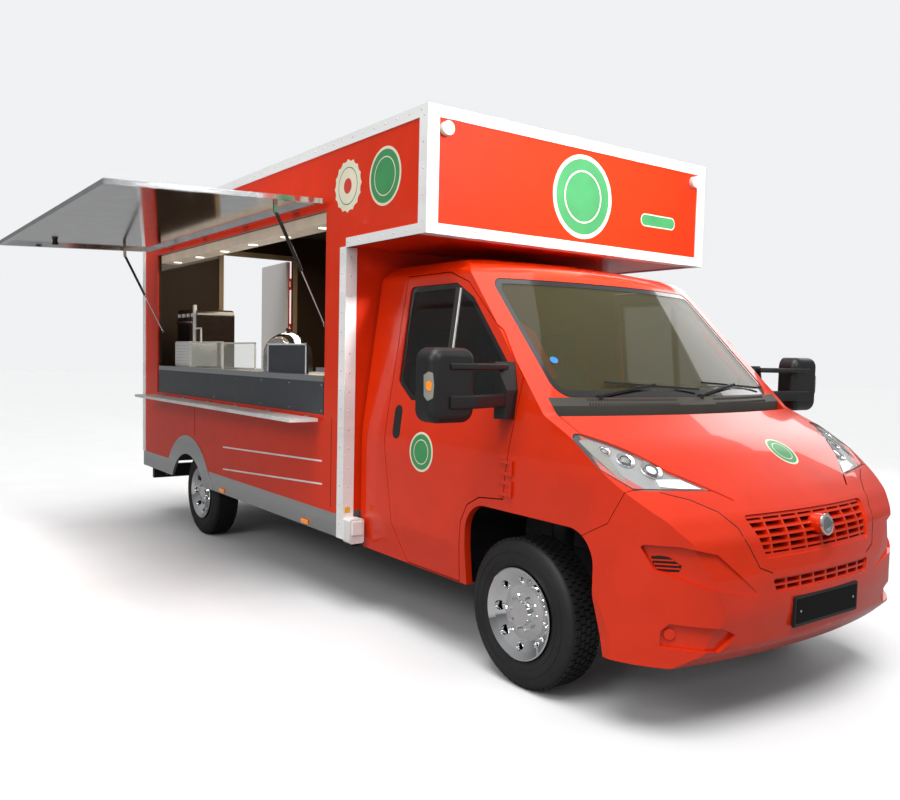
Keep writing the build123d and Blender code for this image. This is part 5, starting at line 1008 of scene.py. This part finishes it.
slab(build, [at(-0.07, 0.10, 1.3325), at(-0.07, 0.34, 1.3325), at(-0.25, 0.36, 1.3325), at(-0.25, 0.12, 1.3325)],
     Vector((0, 0, 0.001)))
keep("dash_paper", build, label_white)
print("door label at", tuple(round(c, 2) for c in door_spot))

# %% [markdown]
# The long-arm mirror has a repeater lamp with an amber bulb set in its outer end and a mirror
# glass behind. The cowl under the screen has rows of fine slits for the air intake.

# %% Mirror lamp, mirror glass and cowl slits
lamp_mid = (429.5, 386)
for name, rim, shares, material, lift, thick in (
    ("mirror_lamp", [(424.5, 375), (429, 371.5), (433, 373), (434, 385), (433, 398), (428, 401), (424.5, 396)],
     (1, 0.7, 0.35), lens_ridged, 0.0006, 0.004),
    ("mirror_bulb", [(427, 382), (430, 380.5), (432, 383), (431.5, 390), (429, 391), (427, 388)],
     (1, 0.5), amber, 0.0048, 0.002),
):
    film(name, "door_fittings_right", drawn(lamp_mid, rim, shares), material, *doors,
         smooth=60, lift=lift, thick=thick)
for low_z, high_z, name in ((1.405, 1.612, "mirror_glass"), (1.320, 1.392, "mirror_glass_low")):
    blocks(name, [(at(-0.1135, -1.525, low_z), at(-0.1105, -1.315, high_z))], 0.001, chrome, *doors)
cowl_lines, slit_steps = [], 23
for a, b in ((-0.72, -0.16), (0.16, 0.72)):
    for x in (0.225, 0.245):
        across = [a + (b - a) * k / slit_steps for k in range(slit_steps + 1)]
        cowl_lines.append(line_on("cowl", [(at(x - 0.13 * (y / 0.9) ** 2, y, 3), -along_z) for y in across]))
row("cowl_slits", "block", cowl_lines, 0.016, 0.006, 0.014, 0.004, seam_black)

# %% [markdown]
# A road tyre has rows of rubber blocks with grooves between them. The carcass is one turned
# profile with round shoulders and a rim bead; the blocks are repeated by the same tree along
# circles, a little below the full radius, so that the tyre keeps its size.

# %% Tyres with tread and wheel nuts
tyre_radius = (wheel_high.z - wheel_low.z) / 2
tread_deep = 0.008
tread_base = tyre_radius - tread_deep
nut_circle, nut_count = 0.084, 10
half_profile = [(0.216, 0.090), (0.228, 0.100), (0.255, 0.108), (0.285, 0.111), (0.315, 0.108),
                (0.338, 0.100), (0.350, 0.092), (tread_base, 0.080)]
tyre_profile = [(r, -h) for r, h in half_profile] + half_profile[::-1]
for end, x in (("front", front_axle_x), ("rear", rear_axle_x)):
    for side, name in ((-1, "right"), (1, "left")):
        low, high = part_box("tyre_%s_%s" % (end, name))
        hub = Vector((x, (low.y + high.y) / 2, tyre_radius))
        build = bmesh.new()
        turned(build, hub, along_y, tyre_profile, steps=96, closed=True)
        for step, height in ((0.300, 0.1105), (0.262, 0.1090)):
            turned(build, hub, along_y * side, [(step - 0.002, height - 0.002), (step - 0.001, height + 0.0012),
                                                (step + 0.001, height + 0.0012), (step + 0.002, height - 0.002)],
                   steps=72, closed=True)
        body = "wheel_%s_%s" % (end, name)
        tyre = keep("tyre_skin_%s_%s" % (end, name), build, rubber, body, smooth=35)[0]
        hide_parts("tyre_%s_%s" % (end, name))
        circles = []
        for band, shift in ((-0.066, 0), (-0.033, 0.5), (0.0, 0), (0.033, 0.5), (0.066, 0)):
            turns = [math.tau * (k + shift) / 72 for k in range(72)]
            outs = [Vector((math.cos(t), 0, math.sin(t))) for t in turns]
            circles.append(([hub + along_y * band + o * (tyre_radius - tread_deep * 0.55) for o in outs], outs, True))
        row("tread_%s_%s" % (end, name), "block", circles, math.tau * tyre_radius / 60, 0.029, 0.026,
            tread_deep * 0.9, rubber, body)
        rim_low, rim_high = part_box("rim_%s_%s" % (end, name))
        nut_y = (rim_high.y if side > 0 else rim_low.y) - side * 0.036
        circle = [hub + Vector((math.cos(t) * nut_circle, 0, math.sin(t) * nut_circle)) for t in
                  (math.tau * k / 40 for k in range(40))]
        row("trim_nuts_%s_%s" % (end, name), "nut", [([Vector((p.x, nut_y, p.z)) for p in circle],
                                                      along_y * side, True)],
            math.tau * nut_circle / nut_count, 0.019, 0.019, 0.022, chrome, body)

# %% [markdown]
# Seat cushions are foam under cloth: crowned on top, pulled in between their corners, with sewn
# channels. Each starts as a finely divided block whose points are moved by a rule, then one
# subdivision rounds what is left. The weave is a fine noise on object coordinates.

# %% Seats
seat_cloth = finish("seat_cloth", (0.045, 0.045, 0.052), 0.85, grain=1500, bump=0.45, shift=0.18)


def cushion(name, low, high, up, lean=0.0, crown=0.03, channels=2):
    """A crowned pad between two corners; up is the axis it is thin along (0 or 2)."""
    build = bmesh.new()
    bmesh.ops.create_cube(build, size=2)
    bmesh.ops.subdivide_edges(build, edges=build.edges, cuts=11, use_grid_fill=True)
    half = (high - low) / 2
    mid = (high + low) / 2
    flat = [a for a in range(3) if a != up]
    for vert in build.verts:
        unit = vert.co.copy()
        u, v = unit[flat[0]], unit[flat[1]]
        swell = (1 - u * u) * (1 - v * v)
        corner = 1 - 0.10 * (u * u * v * v)
        channel = sum(math.exp(-((v - c) / 0.05) ** 2) for c in (-0.45, 0.45)[:channels]) if abs(u) < 0.8 else 0
        pull = 1 - 0.045 * (1 - u ** 2) * abs(v) ** 6
        place = Vector((0, 0, 0))
        place[flat[0]] = u * half[flat[0]] * corner
        place[flat[1]] = v * half[flat[1]] * corner * pull
        side = unit[up]
        rise = half[up] * side * (0.78 + 0.22 * (1 - (u * v) ** 2))
        if side > 0:
            rise += swell * crown - channel * 0.010 * (1 - u ** 4)
        place[up] = rise - crown * 0.5
        place.x -= (place.z + half.z) * lean if up == 0 else 0
        vert.co = mid + place
    bmesh.ops.smooth_vert(build, verts=build.verts, factor=0.5, use_axis_x=True, use_axis_y=True, use_axis_z=True)
    mesh = bpy.data.meshes.new(name)
    bmesh.ops.recalc_face_normals(build, faces=build.faces)
    build.to_mesh(mesh)
    build.free()
    mesh.polygons.foreach_set("use_smooth", [True] * len(mesh.polygons))
    mesh.materials.append(seat_cloth)
    pad = stand(name, mesh)
    smoother = pad.modifiers.new("round", "SUBSURF")
    smoother.levels = smoother.render_levels = 1
    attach(pad, "truck")


seat_build = bmesh.new()
seat_rear, seat_front, seat_low, seat_high = -1.18, -0.66, 0.87, 0.99
for label, y0, y1, pads in (("driver", 0.18, 0.66, 1), ("bench", -0.88, 0.08, 2)):
    block(seat_build, at(-1.05, y0 + 0.05, 0.642), at(-0.70, y1 - 0.05, 0.868), 0.012)
    wide = (y1 - y0) / pads
    for k in range(pads):
        a, b = y0 + wide * k + 0.008, y0 + wide * (k + 1) - 0.008
        cushion("%s_seat_%d" % (label, k), at(seat_rear + 0.11, a, seat_low + 0.002),
                at(seat_front, b, seat_high + 0.012), 2)
        cushion("%s_back_%d" % (label, k), at(seat_rear, a, seat_high + 0.01), at(seat_rear + 0.12, b, 1.56), 0,
                lean=0.15)
        cushion("%s_head_%d" % (label, k), at(seat_rear - 0.085, (a + b) / 2 - 0.13, 1.60),
                at(seat_rear + 0.010, (a + b) / 2 + 0.13, 1.765), 0, crown=0.018, channels=0)
        for dy in (-0.06, 0.06):
            turned(seat_build, at(seat_rear - 0.038, (a + b) / 2 + dy, 1.53), along_z,
                   [(0.0, 0.0), (0.006, 0.0), (0.006, 0.10), (0.0, 0.10)], steps=12)
seat_frame = keep("seat_frames", seat_build, black_plastic)[0]
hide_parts("seats")

# %% [markdown]
# Behind the hatch the kitchen shows: an oven with a dark glass door, knobs and a handle, a white
# louvred case, a post with an arm, and a warming dome with a knob. A pale frame goes round the
# doorway in the rear wall, and bright edges hold the glass case and the slate board.

# %% Kitchen details
oven_low, oven_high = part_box("oven")
blocks("oven_glass", [(Vector((oven_low.x + 0.05, oven_low.y - 0.006, oven_low.z + 0.12)),
                       Vector((oven_high.x - 0.05, oven_low.y + 0.002, oven_high.z - 0.14)))], 0.003, gloss_black)
build = bmesh.new()
bar_y = oven_low.y - 0.030
turned(build, Vector((oven_low.x + 0.06, bar_y, oven_high.z - 0.12)), along_x,
       [(0.0, 0.0), (0.009, 0.0), (0.009, 0.39), (0.0, 0.39)], steps=14)
for x in (0.09, 0.42):
    block(build, Vector((oven_low.x + x - 0.008, bar_y, oven_high.z - 0.128)),
          Vector((oven_low.x + x + 0.008, oven_low.y + 0.001, oven_high.z - 0.112)), 0.002)
keep("oven_handle", build, polished, smooth=40)
row("oven_knobs", "disc", [([Vector((oven_low.x + x, oven_low.y - 0.008, oven_high.z - 0.055)) for x in (0.08, 0.43)],
                            -along_y)], 0.115, 0.034, 0.034, 0.022, bright_trim)
blocks("louvre_case", [(at(-4.80, -1.03, 1.462), at(-4.42, -0.76, 1.690))], 0.008, white_panel)
row("louvres", "block", [([at(-4.61, -1.032, z) for z in (1.50, 1.665)], -along_y)], 0.024,
    0.010, 0.33, 0.005, bright_trim)
blocks("oven_post", [(at(-4.47, -0.98, 1.46), at(-4.44, -0.95, 2.02)),
                     (at(-4.45, -0.97, 1.80), at(-4.30, -0.955, 1.815)),
                     (at(-4.315, -0.97, 1.62), at(-4.30, -0.955, 1.815))], 0.004, white_panel)
warm_low, warm_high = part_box("warmer")
lathe("warmer_knob", Vector(((warm_low.x + warm_high.x) / 2, (warm_low.y + warm_high.y) / 2, warm_high.z - 0.004)),
      along_z, [(0.0, 0.0), (0.012, 0.0), (0.010, 0.012), (0.020, 0.018), (0.022, 0.028), (0.014, 0.036),
                (0.0, 0.038)], black_plastic, steps=24)
blocks("doorway_frame", [(at(-5.349, y0, low_z), at(-5.338, y1, high_z)) for y0, y1, low_z, high_z in (
    (-0.385, -0.335, 0.82, 2.62), (0.458, 0.508, 0.82, 2.62), (-0.385, 0.508, 2.60, 2.65))], 0.002,
       finish("pale_wood", (0.38, 0.27, 0.16), 0.5, grain=90, stretch=(1, 1, 0.1), bump=0.05))
case_low, case_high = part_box("display_case")
edges = [(Vector((x, y, case_low.z)), Vector((x + 0.012, y + 0.012, case_high.z + 0.002)))
         for x in (case_low.x, case_high.x - 0.012) for y in (case_low.y, case_high.y - 0.012)]
edges += [(Vector((case_low.x, y, case_high.z - 0.006)), Vector((case_high.x, y + 0.012, case_high.z + 0.006)))
          for y in (case_low.y, case_high.y - 0.012)]
blocks("case_edges", edges, 0.002, bright_trim)
board_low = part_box("menu_board")[0]
blocks("board_edges", [(Vector((board_low.x + x0, board_low.y - 0.004, board_low.z + z0)),
                        Vector((board_low.x + x1, board_low.y + 0.004, board_low.z + z1)))
                       for x0, z0, x1, z1 in ((-0.006, 0.001, 0.006, 0.212), (0.594, 0.001, 0.606, 0.212),
                                              (-0.006, 0.196, 0.606, 0.208))], 0.002, bright_trim)
print("oven between", [round(c, 2) for c in oven_low], "and", [round(c, 2) for c in oven_high])

# %% [markdown]
# The hatch gets screws along its two short edges and a round knob on its underside. Rays shot
# from below find its sloping skin.

# %% Hatch screws and knob
edge_lines = [line_on("hatch", [(at(x, -1.25 - 1.18 * k / 11, 0.5), along_z) for k in range(12)])
              for x in (-4.95, -1.72)]
row("hatch_screws", "dome", edge_lines, 0.12, 0.010, 0.010, 0.004, chrome, "hatch")
spot, facing = cast("hatch", at(-4.63, -2.11, 0.5), along_z)
lathe("hatch_knob", spot, facing, [(0.0, 0.0), (0.020, 0.0), (0.020, 0.014), (0.026, 0.020), (0.024, 0.034),
                                   (0.0, 0.038)], black_plastic, "hatch", steps=24)

# %% [markdown]
# The floor comes last. To the camera it is a pale studio floor, while for light that bounces off
# it on to the truck it counts as a mid grey, so the lower panels keep their deep red.

# %% Floor paint and finish
floor_paint = finish("floor_paint", (0.86, 0.865, 0.87), 0.70, shift=0.01, grain=20, bump=0.0)
floor_tree = floor_paint.node_tree
tone = grow(floor_tree, "ShaderNodeMix", {
    "Factor": grow(floor_tree, "ShaderNodeLightPath", {}, "Is Camera Ray"),
    "A": (0.26, 0.26, 0.26, 1), "B": floor_tree.nodes["Color Ramp"].outputs["Color"],
}, "Result", data_type="RGBA")
fill(floor_tree, floor_tree.nodes["Principled BSDF"], {"Base Color": tone})
floor.data.materials.append(floor_paint)
